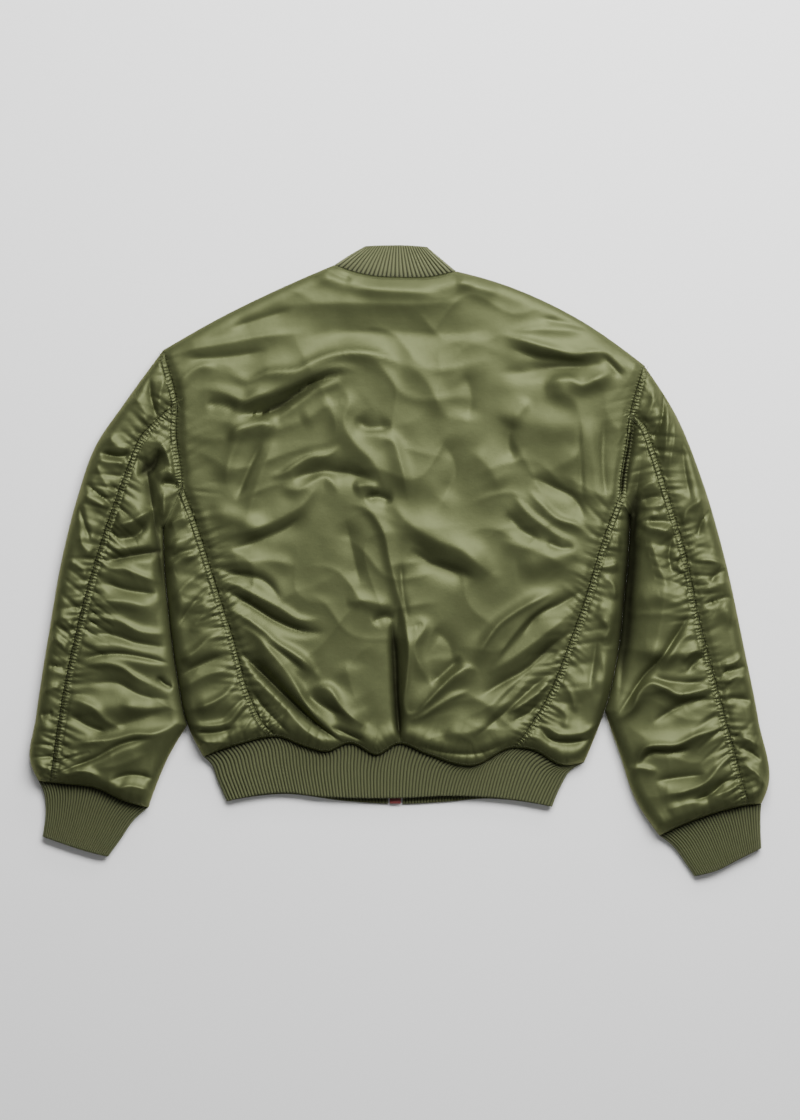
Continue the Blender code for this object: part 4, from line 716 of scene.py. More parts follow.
# ---------------------------------------------------------------- relief of the upper wall
# A double-stitched seam: its line, which side its flat felled band lies on, the height of the puckers
# along it, how close they stand and how far they reach into the cloth.
Seam = namedtuple("Seam", "line band pucker pitch reach")
SEAMS = (
    Seam(smooth(SLEEVE_SEAM["left"]), 1, 1.7, 10.5, 13),
    Seam(smooth(SLEEVE_SEAM["right"]), -1, 1.6, 10.0, 13),
    Seam(smooth(PRINCESS["left"]), -1, 1.5, 9.5, 14),
    Seam(smooth(PRINCESS["right"]), 1, 1.2, 9.0, 11),
    Seam(smooth(ARMHOLE["left"]), -1, 0.7, 11.0, 9),
    Seam(smooth(ARMHOLE["right"]), 1, 0.3, 11.0, 8),
)
CREST_GAIN = 1.2         # crests and valleys of the creases, as shares of their table
VALLEY_GAIN = 1.6
BAND_WIDTH = 6.6         # the felled band beside a seam
BAND_HEIGHT = 1.1        # and how far it stands up
SEAM_ROWS = (1.3, BAND_WIDTH - 0.9)      # from the seam to the two rows of stitches on its band
PINCH_PITCH = 19.0       # between two sharp valleys along a felled seam
PUCKER_REACH = 45        # puckers end this far from a felled seam
GATHER_REACH = 60        # and gathers this far from a band
GATHER_PITCH = 4.6       # of the small gathers between two rows of stitches, in the material
GATHER_HEIGHT = 0.9
STITCHED_REACH = 30      # they are laid out this far from a seam, and further off every point is FAR
FAR = 60.0


def wave(place, pitch, seed):
    """Uneven puckers along a seam, with a round crest about every pitch and keen valleys."""
    phase = 2 * np.pi * place / pitch + 1.3 * np.sin(0.031 * place + seed)
    phase += 0.9 * np.sin(0.083 * place + 2.1 * seed) + 0.6 * np.sin(0.19 * place + 3.7 * seed)
    size = 0.6 + 0.4 * np.sin(0.047 * place + 1.7 * seed) * np.sin(0.023 * place + 0.6 * seed)
    return size * (2 * np.abs(np.sin(phase / 2)) - 1.27)


def pinches(place, pitch, seed):
    """0 to 1: narrow valleys at uneven places along a seam, about one every pitch."""
    phase = np.pi * place / pitch + 1.9 * np.sin(0.019 * place + seed) + 1.1 * np.sin(0.057 * place + 2.3 * seed)
    return (0.55 + 0.45 * np.sin(0.035 * place + 3.1 * seed)) * np.abs(np.sin(phase))**9


def felled_seams(points, sizes):
    """The double-stitched seams: a narrow valley, a flat band beside it and uneven puckers on both sides."""
    total = np.zeros(len(points))
    for number, seam in enumerate(SEAMS):
        chosen, distance, side, place, length = along(points, seam.line, PUCKER_REACH)
        side = np.where(side > 0, 1, -1)
        ends = smoothstep(0, 14, place) * smoothstep(0, 14, length - place)
        on_band = side == seam.band
        beyond = np.where(on_band, np.maximum(distance - BAND_WIDTH, 0), distance)
        band = smoothstep(0.2, 1.2, distance) * smoothstep(BAND_WIDTH + 1.2, BAND_WIDTH, distance)
        valley = -0.9 * np.exp(-(distance / 1.6)**2)
        valley -= 0.8 * np.exp(-((distance - BAND_WIDTH - 1.4) / 1.5)**2) * on_band
        slant = place + 0.55 * distance * np.sin(0.011 * place + 1.3 * number + 2 * side)
        pinched = 1.3 * seam.pucker * pinches(slant, PINCH_PITCH, number + side)
        valley -= pinched * np.exp(-(beyond / 34)**2) * smoothstep(0, 5, beyond)
        reach = seam.reach * (0.75 + 0.5 * np.sin(0.037 * place + number)**2)
        lean = place + 0.35 * distance * np.sin(0.02 * place + 2 * number + side)
        envelope = np.exp(-(beyond / reach)**1.5) * (0.35 + 0.65 * smoothstep(0, 4, beyond))
        puckers = wave(lean, seam.pitch, number + 0.5 * side) * envelope
        puckers += 0.6 * wave(lean + 4, 1.9 * seam.pitch, number + 7 + side) * np.exp(-(beyond / (1.7 * reach))**2)
        height = BAND_HEIGHT * band * on_band + valley + sizes.pucker * seam.pucker * puckers
        total[chosen] += ends * height
    return total


def seam_places(points):
    """For each point, in mm, how far along the nearest double-stitched seam and how far from its band's middle.

    The second has no sign, so it stays smooth where the nearest seam changes. Far from every seam it is FAR.
    """
    places = np.column_stack([np.zeros(len(points)), np.full(len(points), FAR)])
    for seam in SEAMS:
        chosen, distance, side, place, _ = along(points, seam.line, STITCHED_REACH)
        off_middle = np.where(side * seam.band > 0, np.abs(distance - BAND_WIDTH / 2), distance + BAND_WIDTH / 2)
        nearer = off_middle < places[chosen, 1]
        places[chosen[nearer]] = np.column_stack([place, off_middle])[nearer]
    return places


def run_out(share):
    """How a fold rises from its two ends, over its length from 0 to 1."""
    return smoothstep(-0.05, 0.26, share) * smoothstep(1.05, 0.74, share)


def fold_relief(points, table):
    """Height that folds add. Each tapers to its ends; a negative one is a trough, narrower at its bottom."""
    total = np.zeros(len(points))
    for fold in table:
        line = smooth(fold.path, 5.0)
        chosen, distance, _, place, length = along(points, line, 2.6 * fold.width)
        taper = run_out(place / length)
        if fold.height > 0:
            shape = np.exp(-(distance / fold.width)**2)
        else:
            shape = 0.6 * np.exp(-(distance / fold.width)**2) + 0.4 * np.exp(-(distance / (0.45 * fold.width))**1.3)
        fade = smoothstep(2.6, 1.9, distance / fold.width)
        total[chosen] += fold.height * shape * taper * fade
    return total


def crease_relief(points):
    """Height that the smaller folds add: crests are rounded, valleys are keen, and the side they lean to
    is the steeper one."""
    total = np.zeros(len(points))
    for crease in CREASES:
        path = [((x - GRID_MIDDLE[0]) * GRID, (GRID_MIDDLE[1] - y) * GRID)
                for x, y in zip(crease.path[::2], crease.path[1::2])]
        chosen, distance, side, place, length = along(points, smooth(path, 4.0), 3.2 * crease.width)
        taper = run_out(place / length)
        width = crease.width * (1 - 0.55 * crease.lean * side) * (0.7 + 0.3 * taper)
        keen = 0.28 if crease.height > 0 else 0.5
        shape = (1 - keen) * np.exp(-(distance / width)**2) + keen * np.exp(-(distance / (0.42 * width))**1.4)
        total[chosen] += crease.height * taper * shape
    return np.where(total > 0, CREST_GAIN, VALLEY_GAIN) * total


def fold_shade(points):
    """0 to 1: how deep in a fold the upper wall's points lie, which darkens the cloth's tone as painted shade."""
    low = fold_relief(points[:, :2], FOLDS) + crease_relief(points[:, :2])
    return smoothstep(*SHADE_DEPTHS, -low) * (points[:, 2] > UPPER_WALL)


def softness(points):
    """Faint swells of the padding everywhere, and between the placed folds a few more with thin crests."""
    x, y = points[:, 0], points[:, 1]
    total = np.sin(0.043 * x + 0.9 * np.sin(0.031 * y)) * np.sin(0.047 * y + 1.1 * np.sin(0.029 * x))
    total += 0.35 * np.sin(0.091 * x + 0.118 * y + 1.3 * np.sin(0.052 * x - 0.047 * y))
    for angle, pitch, seed in ((22, 62, 0.4), (-38, 74, 2.9), (68, 96, 5.1), (-12, 45, 7.7)):
        turn = np.radians(angle)
        run, off = x * np.cos(turn) + y * np.sin(turn), y * np.cos(turn) - x * np.sin(turn)
        phase = np.pi * off / pitch + 1.2 * np.sin(0.023 * run + seed) + 0.6 * np.sin(0.049 * run - 0.021 * off + seed)
        patch = np.sin(0.017 * run + 2.3 * seed) * np.sin(0.021 * off - 1.7 * seed)
        total += 2.0 * (1 - np.abs(np.sin(phase)))**2 * smoothstep(-0.1, 0.7, patch)
    return total


def hem_gathers(points):
    """Gathers that fan up from the waistband and the cuffs into the padded cloth."""
    total = np.zeros(len(points))
    seams = [smooth(HEM_SEAM_BACK)] + [smooth(CUFF_SEAM[side]) for side in SIDES]
    for number, line in enumerate(seams):
        chosen, distance, _, place, length = along(points, line, GATHER_REACH)
        height = wave(place, 17.0, 3.0 + number) * np.exp(-(distance / 26)**1.6)
        height += 0.7 * wave(place + 5, 9.0, 5.0 + number) * np.exp(-(distance / 14)**1.5)
        total[chosen] += 1.1 * height * smoothstep(0, 12, place) * smoothstep(0, 12, length - place)
    return total


def relief(points, flat, sizes):
    """What folds, seams, puckers and gathers add to the upper wall."""
    seam, _ = nearest(points, SEWN, 30)
    clear = smoothstep(0, FOLD_CLEAR, seam)
    total = clear * (fold_relief(points, FOLDS) + sizes.softness * softness(points)) * sizes.fold
    total += smoothstep(0, CREASE_CLEAR, seam) * crease_relief(points) * sizes.crease
    total += felled_seams(points, sizes) + hem_gathers(points)
    total -= SEAM_DEPTH * np.exp(-(seam / SEAM_REACH)**2)
    band, _ = nearest(points, BAND_SEAMS["back"], 60)
    total += sizes.blouse / MM * np.exp(-((band - BLOUSE_MIDDLE) / BLOUSE_SPREAD)**2)
    eased = VALLEY_FLOOR * np.exp((total + VALLEY_FLOOR) / VALLEY_FLOOR) - 2 * VALLEY_FLOOR
    total = np.where(total < -VALLEY_FLOOR, eased, total)
    return flat.full * flat.rise * total


# ---------------------------------------------------------------- a piece's plan, and its wall
NYLON = "Olive nylon satin"
SEAM, BAND_SEAM, OUTLINE_EDGE, CONTACT_EDGE = "seam", "band seam", "outline", "contact"
INSET = {SEAM: SEAM_GAP / 2, BAND_SEAM: BAND_GAP - SEAM_GAP / 2, OUTLINE_EDGE: 0.0,
         CONTACT_EDGE: SLEEVE_CLEARANCE / 2}


def inset_loop(loop, insets):
    """Move a closed anticlockwise loop inwards, each edge by its own inset."""
    edge = np.roll(loop, -1, axis=0) - loop
    length = np.maximum(np.linalg.norm(edge, axis=1), 1e-9)
    normal = np.column_stack([-edge[:, 1], edge[:, 0]]) / length[:, None]
    before, after = np.roll(normal, 1, axis=0), normal
    inset_before, inset_after = np.roll(insets, 1), insets
    cross = before[:, 0] * after[:, 1] - before[:, 1] * after[:, 0]
    straight = np.abs(cross) < 0.08
    safe = np.where(straight, 1, cross)
    x = (inset_before * after[:, 1] - inset_after * before[:, 1]) / safe
    y = (inset_after * before[:, 0] - inset_before * after[:, 0]) / safe
    flat = (before + after) / 2 * np.maximum(inset_before, inset_after)[:, None]
    return loop + np.where(straight[:, None], flat, np.column_stack([x, y]))


Plan = namedtuple("Plan", "cut drawn")     # grids of plan points: with the seam gaps, and without


def share_along(line):
    """Each vertex of a line as a share of its length."""
    length = lengths(line)
    return length / length[-1]


def between(bottom, right, top, left, u, v):
    """A grid of points between four lines that meet at their ends."""
    corners = (bottom[0] * (1 - u) + bottom[-1] * u) * (1 - v) + (top[0] * (1 - u) + top[-1] * u) * v
    return bottom[None] * (1 - v) + top[None] * v + left[:, None] * (1 - u) + right[:, None] * u - corners


def plan_grid(bottom, right, top, left, edges):
    """Grid of plan points between four sampled curves. bottom and top run one way, left and right up.

    edges names the kind of each side: bottom, right, top, left.
    """
    loop = np.vstack([bottom[:-1], right[:-1], top[::-1][:-1], left[::-1][:-1]])
    kinds = [[kind] * (len(line) - 1) if isinstance(kind, str) else kind
             for line, kind in zip((bottom, right, top, left), edges)]
    insets = np.array([INSET[kind] for kind in kinds[0] + kinds[1] + kinds[2][::-1] + kinds[3][::-1]])
    area = (loop[:, 0] * np.roll(loop[:, 1], -1) - loop[:, 1] * np.roll(loop[:, 0], -1)).sum()
    if area > 0:
        loop = inset_loop(loop, insets)
    else:
        loop = inset_loop(loop[::-1], np.roll(insets[::-1], -1))[::-1]
    a, b, c = len(bottom) - 1, len(right) - 1, len(top) - 1
    loop = np.vstack([loop, loop[:1]])
    v = ((share_along(left) + share_along(right)) / 2)[:, None]
    u = share_along(bottom)[None] * (1 - v) + share_along(top)[None] * v
    inset = (loop[:a + 1], loop[a:a + b + 1], loop[a + b:a + b + c + 1][::-1], loop[a + b + c:][::-1])
    return Plan(between(*inset, u[..., None], v[..., None]),
                between(bottom, right, top, left, u[..., None], v[..., None]))


def mask(plan, *parts):
    """Which points of a plan's grid lie on the outline: those in the given parts of it."""
    on_outline = np.zeros(plan.cut.shape[:2], bool)
    for part in parts:
        on_outline[part] = True
    return on_outline


def nudge(plan, on_outline):
    """A short step from each outline vertex into its piece, which tells the piece's side of the outline."""
    step = np.zeros(plan.shape)
    rows, columns = plan.shape[:2]
    for i, j in zip(*np.nonzero(on_outline)):
        for a, b in ((0, 1), (0, -1), (-1, 0), (1, 0), (-1, 1), (-1, -1), (1, 1), (1, -1)):
            inside = 0 <= i + a < rows and 0 <= j + b < columns and not on_outline[i + a, j + b]
            if inside:
                run = plan[i + a, j + b] - plan[i, j]
                step[i, j] = run / np.linalg.norm(run)
                break
    return step


def sheet(plan, side, on_outline, sizes, ribbed=None, under_seam=False):
    """Outer and inner points (rows, columns, 3) of a wall over a grid of plan points.

    ribbed adds heights of its own to the outside and, turned over, to the inside. under_seam lowers a
    piece that ends under the outline's seam by the seam's gap.
    """
    rows, columns = plan.cut.shape[:2]
    points = plan.drawn.reshape(-1, 2)
    cut = plan.cut.reshape(-1, 2)
    inward = nudge(plan.drawn, on_outline).reshape(-1, 2)
    flat = layer(points, inward, side, on_outline.ravel(), ribbed is not None)
    outer, inner = flat.outer.copy(), flat.inner.copy()
    if ribbed is not None:
        out = ribbed[0].ravel() * flat.rise
        outer = outer + (out if side == "back" else -out)
        inner = inner - (ribbed[1].ravel() if side == "back" else -ribbed[1].ravel()) * flat.rise
    elif side == "back":
        outer = outer + relief(points, flat, sizes)
    drop = SEAM_GAP * np.sqrt(1 - flat.rise**2) if under_seam else 0.0
    outer_points = np.column_stack([cut, np.maximum(outer - drop, 0)]).reshape(rows, columns, 3)
    inner_points = np.column_stack([cut + flat.shift, inner - drop]).reshape(rows, columns, 3)
    return outer_points, inner_points


def in_metres(points):
    """Points in mm, with or without a height, in metres about the middle of the outline."""
    return (points - np.array([*CENTRE, 0.0])[:points.shape[-1]]) * MM


class Shell:
    """Collects the points and faces of one closed piece, with a plan place for each point."""

    def __init__(self):
        self.points = []
        self.places = []
        self.faces = []
        self.count = 0

    def add(self, points, places):
        """Add a grid of points, (rows, columns, 3), and return their numbers."""
        first = self.count
        self.points.append(points.reshape(-1, 3))
        self.places.append(places.reshape(-1, 2))
        self.count += points.shape[0] * points.shape[1]
        return np.arange(first, self.count).reshape(points.shape[:2])

    def grid(self, numbers, flip):
        quads = np.stack([numbers[:-1, :-1], numbers[:-1, 1:], numbers[1:, 1:], numbers[1:, :-1]], axis=-1)
        quads = quads.reshape(-1, 4)
        self.faces.extend((quads[:, ::-1] if flip else quads).tolist())

    def strip(self, fine, coarse, fine_place, coarse_place, flip):
        """Fill between a fine line of points and a coarse one beside it, in step with their places."""
        i = j = 0
        while i < len(fine) - 1 or j < len(coarse) - 1:
            fine_next = (fine_place[i] + fine_place[i + 1]) / 2 if i < len(fine) - 1 else np.inf
            coarse_next = (coarse_place[j] + coarse_place[j + 1]) / 2 if j < len(coarse) - 1 else np.inf
            if fine_next <= coarse_next:
                face = [fine[i], fine[i + 1], coarse[j]]
                i += 1
            else:
                face = [fine[i], coarse[j + 1], coarse[j]]
                j += 1
            self.faces.append([int(n) for n in (face[::-1] if flip else face)])

    def build(self, name, material):
        points = np.vstack(self.points)
        mesh = bpy.data.meshes.new(name)
        mesh.from_pydata(in_metres(points).tolist(), [], self.faces)
        mesh.update()
        if sum_volume(mesh) < 0:
            mesh.flip_normals()
        loops = np.empty(len(mesh.loops), np.int32)
        mesh.loops.foreach_get("vertex_index", loops)
        places = {"Cloth": np.vstack(self.places)}
        if material.name == NYLON:
            places["Seam"] = seam_places(points[:, :2])
            # painted shade: the cloth's tone darkens with each point's depth in a fold
            depth = mesh.attributes.new("Fold depth", "FLOAT", "POINT")
            depth.data.foreach_set("value", fold_shade(points).astype(np.float32))
        for layer_name, place in places.items():
            uv = mesh.uv_layers.new(name=layer_name)
            uv.uv.foreach_set("vector", place[loops].astype(np.float32).ravel())
        mesh.shade_smooth()
        mesh.set_sharp_from_angle(angle=np.radians(SHARP_ANGLE))
        mesh.materials.append(material)
        return link_object(name, mesh)


def link_object(name, data):
    """An object of some data, linked to the scene."""
    piece = bpy.data.objects.new(name, data)
    bpy.context.scene.collection.objects.link(piece)
    return piece


def sum_volume(mesh):
    """Six times the signed volume of a closed mesh."""
    mesh.calc_loop_triangles()
    triangles = np.empty(len(mesh.loop_triangles) * 3, np.int32)
    mesh.loop_triangles.foreach_get("vertices", triangles)
    points = np.empty(len(mesh.vertices) * 3, np.float32)
    mesh.vertices.foreach_get("co", points)
    corner = points.reshape(-1, 3)[triangles.reshape(-1, 3)].astype(float)
    return float((corner[:, 0] * np.cross(corner[:, 1], corner[:, 2])).sum())


def thinned(count, step):
    """Numbers 0..count - 1, one in every step, with the last."""
    return np.array(sorted(set(range(0, count, step)) | {count - 1}))


def wall(name, outer, inner, material, step=(INSIDE_STEP, INSIDE_STEP), places=None, closed=False):
    """A closed wall: a fine outside, a plainer inside that keeps some rows and columns, and the edges."""
    rows, columns = outer.shape[:2]
    kept_rows, kept_columns = thinned(rows, step[0]), thinned(columns, step[1])
    shell = Shell()
    if places is None:
        places = in_metres(outer[..., :2])
    outside = shell.add(outer, places)
    inside = shell.add(inner[np.ix_(kept_rows, kept_columns)], places[np.ix_(kept_rows, kept_columns)])
    if closed:
        outside = np.hstack([outside, outside[:, :1]])
        inside = np.hstack([inside, inside[:, :1]])
        kept_columns = np.r_[kept_columns, columns]
        columns += 1
    shell.grid(outside, False)
    shell.grid(inside, True)
    all_rows, all_columns = np.arange(rows), np.arange(columns)
    shell.strip(outside[0], inside[0], all_columns, kept_columns, True)
    shell.strip(outside[-1], inside[-1], all_columns, kept_columns, False)
    if not closed:
        shell.strip(outside[:, 0], inside[:, 0], all_rows, kept_rows, False)
        shell.strip(outside[:, -1], inside[:, -1], all_rows, kept_rows, True)
    return shell.build(name, material)


# ---------------------------------------------------------------- lines that two or more pieces share
BODY_ROWS = graded(165, 2.0, 0.0)
APEX_ROWS = np.linspace(0, 1, 34)
TIP_ROWS = graded(36, 0.0, 3.0)
SLEEVE_ROWS = graded(285, 0.5, 2.5)
OPEN_ROWS = 28
SHOULDER_COLUMNS = graded(96, 1.0, 1.0)
NECK_COLUMNS = graded(84, 0.6, 0.6)
SIDE_COLUMNS = graded(46, 2.0, 0.0)
UPPER_COLUMNS = graded(56, 0.0, 3.0)
UNDER_COLUMNS = graded(76, 0.0, 2.5)


def from_side(line, side):
    """A curve across the jacket, run from one of its sides."""
    return smooth(line) if side == "left" else smooth(line)[::-1]


def at_slot(line, side, half_slot):
    """Where a front line, given by an odd number of points, is half a slot short of the zip's centre line."""
    return ZIP_X + (-half_slot if side == "left" else half_slot), line[len(line) // 2][1]


def side_lines(side):
    """Every line of one side that two or more pieces share, each as its own dense run of points."""
    armhole = smooth(ARMHOLE[side])
    to_junction, below = split(armhole, SLEEVE_SEAM[side][0])
    to_front_junction, below_front = split(armhole, FRONT_SEAM[side][0])
    cuff = smooth(CUFF_SEAM[side])
    cuff_outer, cuff_inner = split(cuff, SLEEVE_SEAM[side][-1])
    cuff_front_outer, cuff_front_inner = split(cuff, FRONT_SEAM[side][-1])
    hem_side, _ = split(from_side(HEM_SEAM_BACK, side), PRINCESS[side][-1])
    hem_front, _ = split(from_side(HEM_SEAM_FRONT, side), at_slot(HEM_SEAM_FRONT, side, ZIP_HALF_SLOT))
    neck_front, beyond = split(from_side(NECK_SEAM_FRONT, side), at_slot(NECK_SEAM_FRONT, side, ZIP_HALF_SLOT))
    beyond, _ = split(beyond, at_slot(NECK_SEAM_FRONT, side, COLLAR_HALF_SLOT))
    return {
        "shoulder": smooth(SHOULDER[side])[::-1], "princess": smooth(PRINCESS[side])[::-1],
        "body_side": smooth(BODY_SIDE[side])[::-1], "apex_to_junction": below[::-1],
        "junction_to_tip": to_junction[::-1], "underarm": smooth(UNDERARM[side]),
        "tip_to_front_junction": to_front_junction, "apex_to_front_junction": below_front[::-1],
        "sleeve_seam": smooth(SLEEVE_SEAM[side]), "front_seam": smooth(FRONT_SEAM[side]),
        "sleeve_outer": smooth(SLEEVE_OUTER[side]), "sleeve_inner": sleeve_inner(side),
        "cuff": cuff, "cuff_upper": cuff_outer[::-1], "cuff_under": cuff_inner,
        "cuff_front_upper": cuff_front_outer, "cuff_front_under": cuff_front_inner[::-1],
        "hem_side": hem_side, "hem_front": hem_front, "neck_front": neck_front,
        "neck_to_collar_end": chain(neck_front, beyond),
    }


def hem_middle():
    """The back panel's part of the hem seam, between the princess seams."""
    middle, _ = split(smooth(HEM_SEAM_BACK), PRINCESS["right"][-1])
    return split(middle, PRINCESS["left"][-1])[1]


LINES = {side: side_lines(side) for side in SIDES}


# ---------------------------------------------------------------- the padded pieces
def back_panel(sizes, material):
    left, right = LINES["left"], LINES["right"]
    top = chain(sample(left["shoulder"], SHOULDER_COLUMNS), sample(smooth(NECK_SEAM_BACK), NECK_COLUMNS),
                sample(right["shoulder"][::-1], SHOULDER_COLUMNS))
    shoulder = len(SHOULDER_COLUMNS) - 1
    neck = len(NECK_COLUMNS) - 1
    sides = [chain(sample(line["princess"], BODY_ROWS), sample(line["apex_to_junction"], APEX_ROWS),
                   sample(line["junction_to_tip"], TIP_ROWS)) for line in (left, right)]
    bottom = sample(hem_middle(), np.linspace(0, 1, len(top)))
    top_edges = [OUTLINE_EDGE] * shoulder + [SEAM] * neck + [OUTLINE_EDGE] * shoulder
    plan = plan_grid(bottom, sides[1], top, sides[0], (SEAM, SEAM, top_edges, SEAM))
    on_outline = mask(plan, np.s_[-1, :shoulder + 1], np.s_[-1, shoulder + neck:])
    outer, inner = sheet(plan, "back", on_outline, sizes)
    return wall("back_cloth", outer, inner, material)


def side_back(side, sizes, material):
    line = LINES[side]
    bottom = sample(line["hem_side"], SIDE_COLUMNS)
    top = sample(line["underarm"][::-1], SIDE_COLUMNS)
    princess, body_side = sample(line["princess"], BODY_ROWS), sample(line["body_side"], BODY_ROWS)
    plan = plan_grid(bottom, princess, top, body_side, (SEAM, SEAM, SEAM, CONTACT_EDGE))
    outer, inner = sheet(plan, "back", mask(plan, np.s_[:, 0]), sizes)
    return wall("side_back_cloth_" + side, outer, inner, material)


def front(side, sizes, material):
    line = LINES[side]
    beside, under_arm, below, above = 60, 14, 10, 24
    shoulder, neck = 40, 24
    left = chain(sample(line["body_side"], graded(beside, 1, 1)), sample(line["underarm"][::-1], graded(under_arm)),
                 sample(line["apex_to_front_junction"], graded(below)),
                 sample(line["tip_to_front_junction"][::-1], graded(above, 0, 2)))
    top = chain(sample(line["shoulder"], graded(shoulder, 1, 1)), sample(line["neck_front"], graded(neck, 1, 0)))
    bottom = sample(line["hem_front"], graded(64, 2, 0))
    edge = sample(np.array([bottom[-1], top[-1]]), share_along(left))
    top_edges = [OUTLINE_EDGE] * shoulder + [SEAM] * neck
    left_edges = [CONTACT_EDGE] * beside + [SEAM] * (under_arm + below + above)
    plan = plan_grid(bottom, edge, top, left, (SEAM, SEAM, top_edges, left_edges))
    on_outline = mask(plan, np.s_[-1, :shoulder + 1], np.s_[:beside + 1, 0])
    outer, inner = sheet(plan, "front", on_outline, sizes, under_seam=True)
    return wall("front_cloth_" + side, outer, inner, material, step=(3, 3))


def sleeve(name, side, sizes, material, tops, unders, outline, columns, open_rows):
    """A sleeve piece from the seam on top, round the sleeve's outline, to the seam underneath.

    tops and unders are its first and last lines on each layer. outline is its outer line and that line's
    kind; in the first open_rows rows the line is a seam and the two layers are apart.
    """
    line = LINES[side]
    edge, kind = outline
    kinds = [SEAM] * open_rows + [kind] * (len(edge) - 1 - open_rows)
    top = plan_grid(sample(tops[0], columns), edge, sample(tops[1], columns),
                    sample(line["sleeve_seam"], SLEEVE_ROWS), (SEAM, kinds, SEAM, SEAM))
    under_columns = (1 - columns[::-1])[::4]
    under = plan_grid(sample(unders[0], under_columns), sample(line["front_seam"], SLEEVE_ROWS),
                      sample(unders[1], under_columns), edge, (SEAM, SEAM, SEAM, kinds))
    under.cut[open_rows:, 0] = top.cut[open_rows:, -1]
    top_layer = sheet(top, "back", mask(top, np.s_[open_rows:, -1]), sizes)
    under_layer = sheet(under, "front", mask(under, np.s_[open_rows:, 0]), sizes)
    return tube(name + "_cloth_" + side, top_layer, under_layer, open_rows, material)


def tube(name, top, under, open_rows, material):
    """A closed wall of two layers, each (outer, inner), joined along the outline from row open_rows on."""
    rows = top[0].shape[0]
    columns = {"top": top[0].shape[1], "under": under[0].shape[1]}
    coarse_rows = np.array(sorted(set(thinned(rows, INSIDE_STEP)) | set(thinned(open_rows + 1, 4))))
    shell = Shell()
    skins = []
    for skin in (0, 1):
        chosen = coarse_rows if skin else np.arange(rows)
        across = {key: thinned(count, INSIDE_STEP if skin else 1) for key, count in columns.items()}
        part = top[skin][np.ix_(chosen, across["top"])]
        numbers = {"top": shell.add(part, in_metres(part[..., :2]))}
        part = under[skin][np.ix_(chosen, across["under"])]
        joined = shell.add(part[:, 1:], in_metres(part[:, 1:, :2]))
        first = numbers["top"][:, -1].copy()
        apart = chosen < open_rows
        if apart.any():
            first[apart] = shell.add(part[apart, :1], in_metres(part[apart, :1, :2]))[:, 0]
        numbers["under"] = np.column_stack([first, joined])
        shell.grid(numbers["top"], skin == 1)
        shell.grid(numbers["under"], skin == 1)
        skins.append((numbers, {int(n): k for k, n in enumerate(chosen)},
                      {key: {int(n): k for k, n in enumerate(kept)} for key, kept in across.items()}))
    last = {key: count - 1 for key, count in columns.items()}
    path = [("top", i, last["top"]) for i in range(open_rows, 0, -1)]
    path += [("top", 0, j) for j in range(last["top"], 0, -1)]
    path += [("top", i, 0) for i in range(rows - 1)]
    path += [("top", rows - 1, j) for j in range(last["top"])]
    path += [("under", rows - 1, j) for j in range(last["under"])]
    path += [("under", i, last["under"]) for i in range(rows - 1, 0, -1)]
    path += [("under", 0, j) for j in range(last["under"], 0, -1)]
    path += [("under", i, 0) for i in range(open_rows + 1)]
    fine_numbers = skins[0][0]
    coarse_numbers, row_at, column_at = skins[1]
    fine = [fine_numbers[key][i, j] for key, i, j in path]
    places, coarse = [], []
    for place, (key, i, j) in enumerate(path):
        if i in row_at and j in column_at[key]:
            places.append(place)
            coarse.append(coarse_numbers[key][row_at[i], column_at[key][j]])
    shell.strip(fine, coarse, range(len(path)), places, False)
    return shell.build(name, material)


def sleeve_upper(side, sizes, material):
    line = LINES[side]
    return sleeve("sleeve_upper", side, sizes, material, (line["junction_to_tip"], line["cuff_upper"]),
                  (line["tip_to_front_junction"], line["cuff_front_upper"]),
                  (sample(line["sleeve_outer"], SLEEVE_ROWS), OUTLINE_EDGE), UPPER_COLUMNS, 0)


def sleeve_under(side, sizes, material):
    line = LINES[side]
    edge = chain(sample(line["underarm"], np.linspace(0, 1, OPEN_ROWS + 1)),
                 sample(line["sleeve_inner"], graded(len(SLEEVE_ROWS) - 1 - OPEN_ROWS, 0.5, 2.5)))
    return sleeve("sleeve_under", side, sizes, material, (line["apex_to_junction"][::-1], line["cuff_under"]),
                  (line["apex_to_front_junction"], line["cuff_front_under"]), (edge, CONTACT_EDGE),
                  UNDER_COLUMNS, OPEN_ROWS)


# ---------------------------------------------------------------- the rib knit bands
BAND_EDGES = (BAND_SEAM, OUTLINE_EDGE, OUTLINE_EDGE, OUTLINE_EDGE)


def ribs(columns, rows, rib_count, groove_depth, band_depth):
    """Heights of the ribs of a band over its grid, for the outside and the inside, and their places."""
    count = columns[None] * rib_count
    fraction = np.abs(2 * (count - np.floor(count)) - 1)
    groove = -groove_depth * fraction**2.2
    rounded = np.clip((1 - rows) * band_depth / EDGE_ROUNDING, 0, 1)
    round_off = (np.sqrt(1 - (1 - rounded)**2) - 1)[:, None]
    outside = groove * rounded[:, None] ** 0.3 + 1.9 * round_off
    inside = groove * 0.8 + 1.5 * round_off
    return outside, inside, np.broadcast_to(count, outside.shape)


def spread(line, fractions):
    """Points of a line at fractions of the straight way between its ends, so that ribs don't lean."""
    way = line[-1] - line[0]
    share = (line - line[0]) @ way / (way @ way)
    return np.column_stack([np.interp(fractions, share, line[:, k]) for k in (0, 1)])


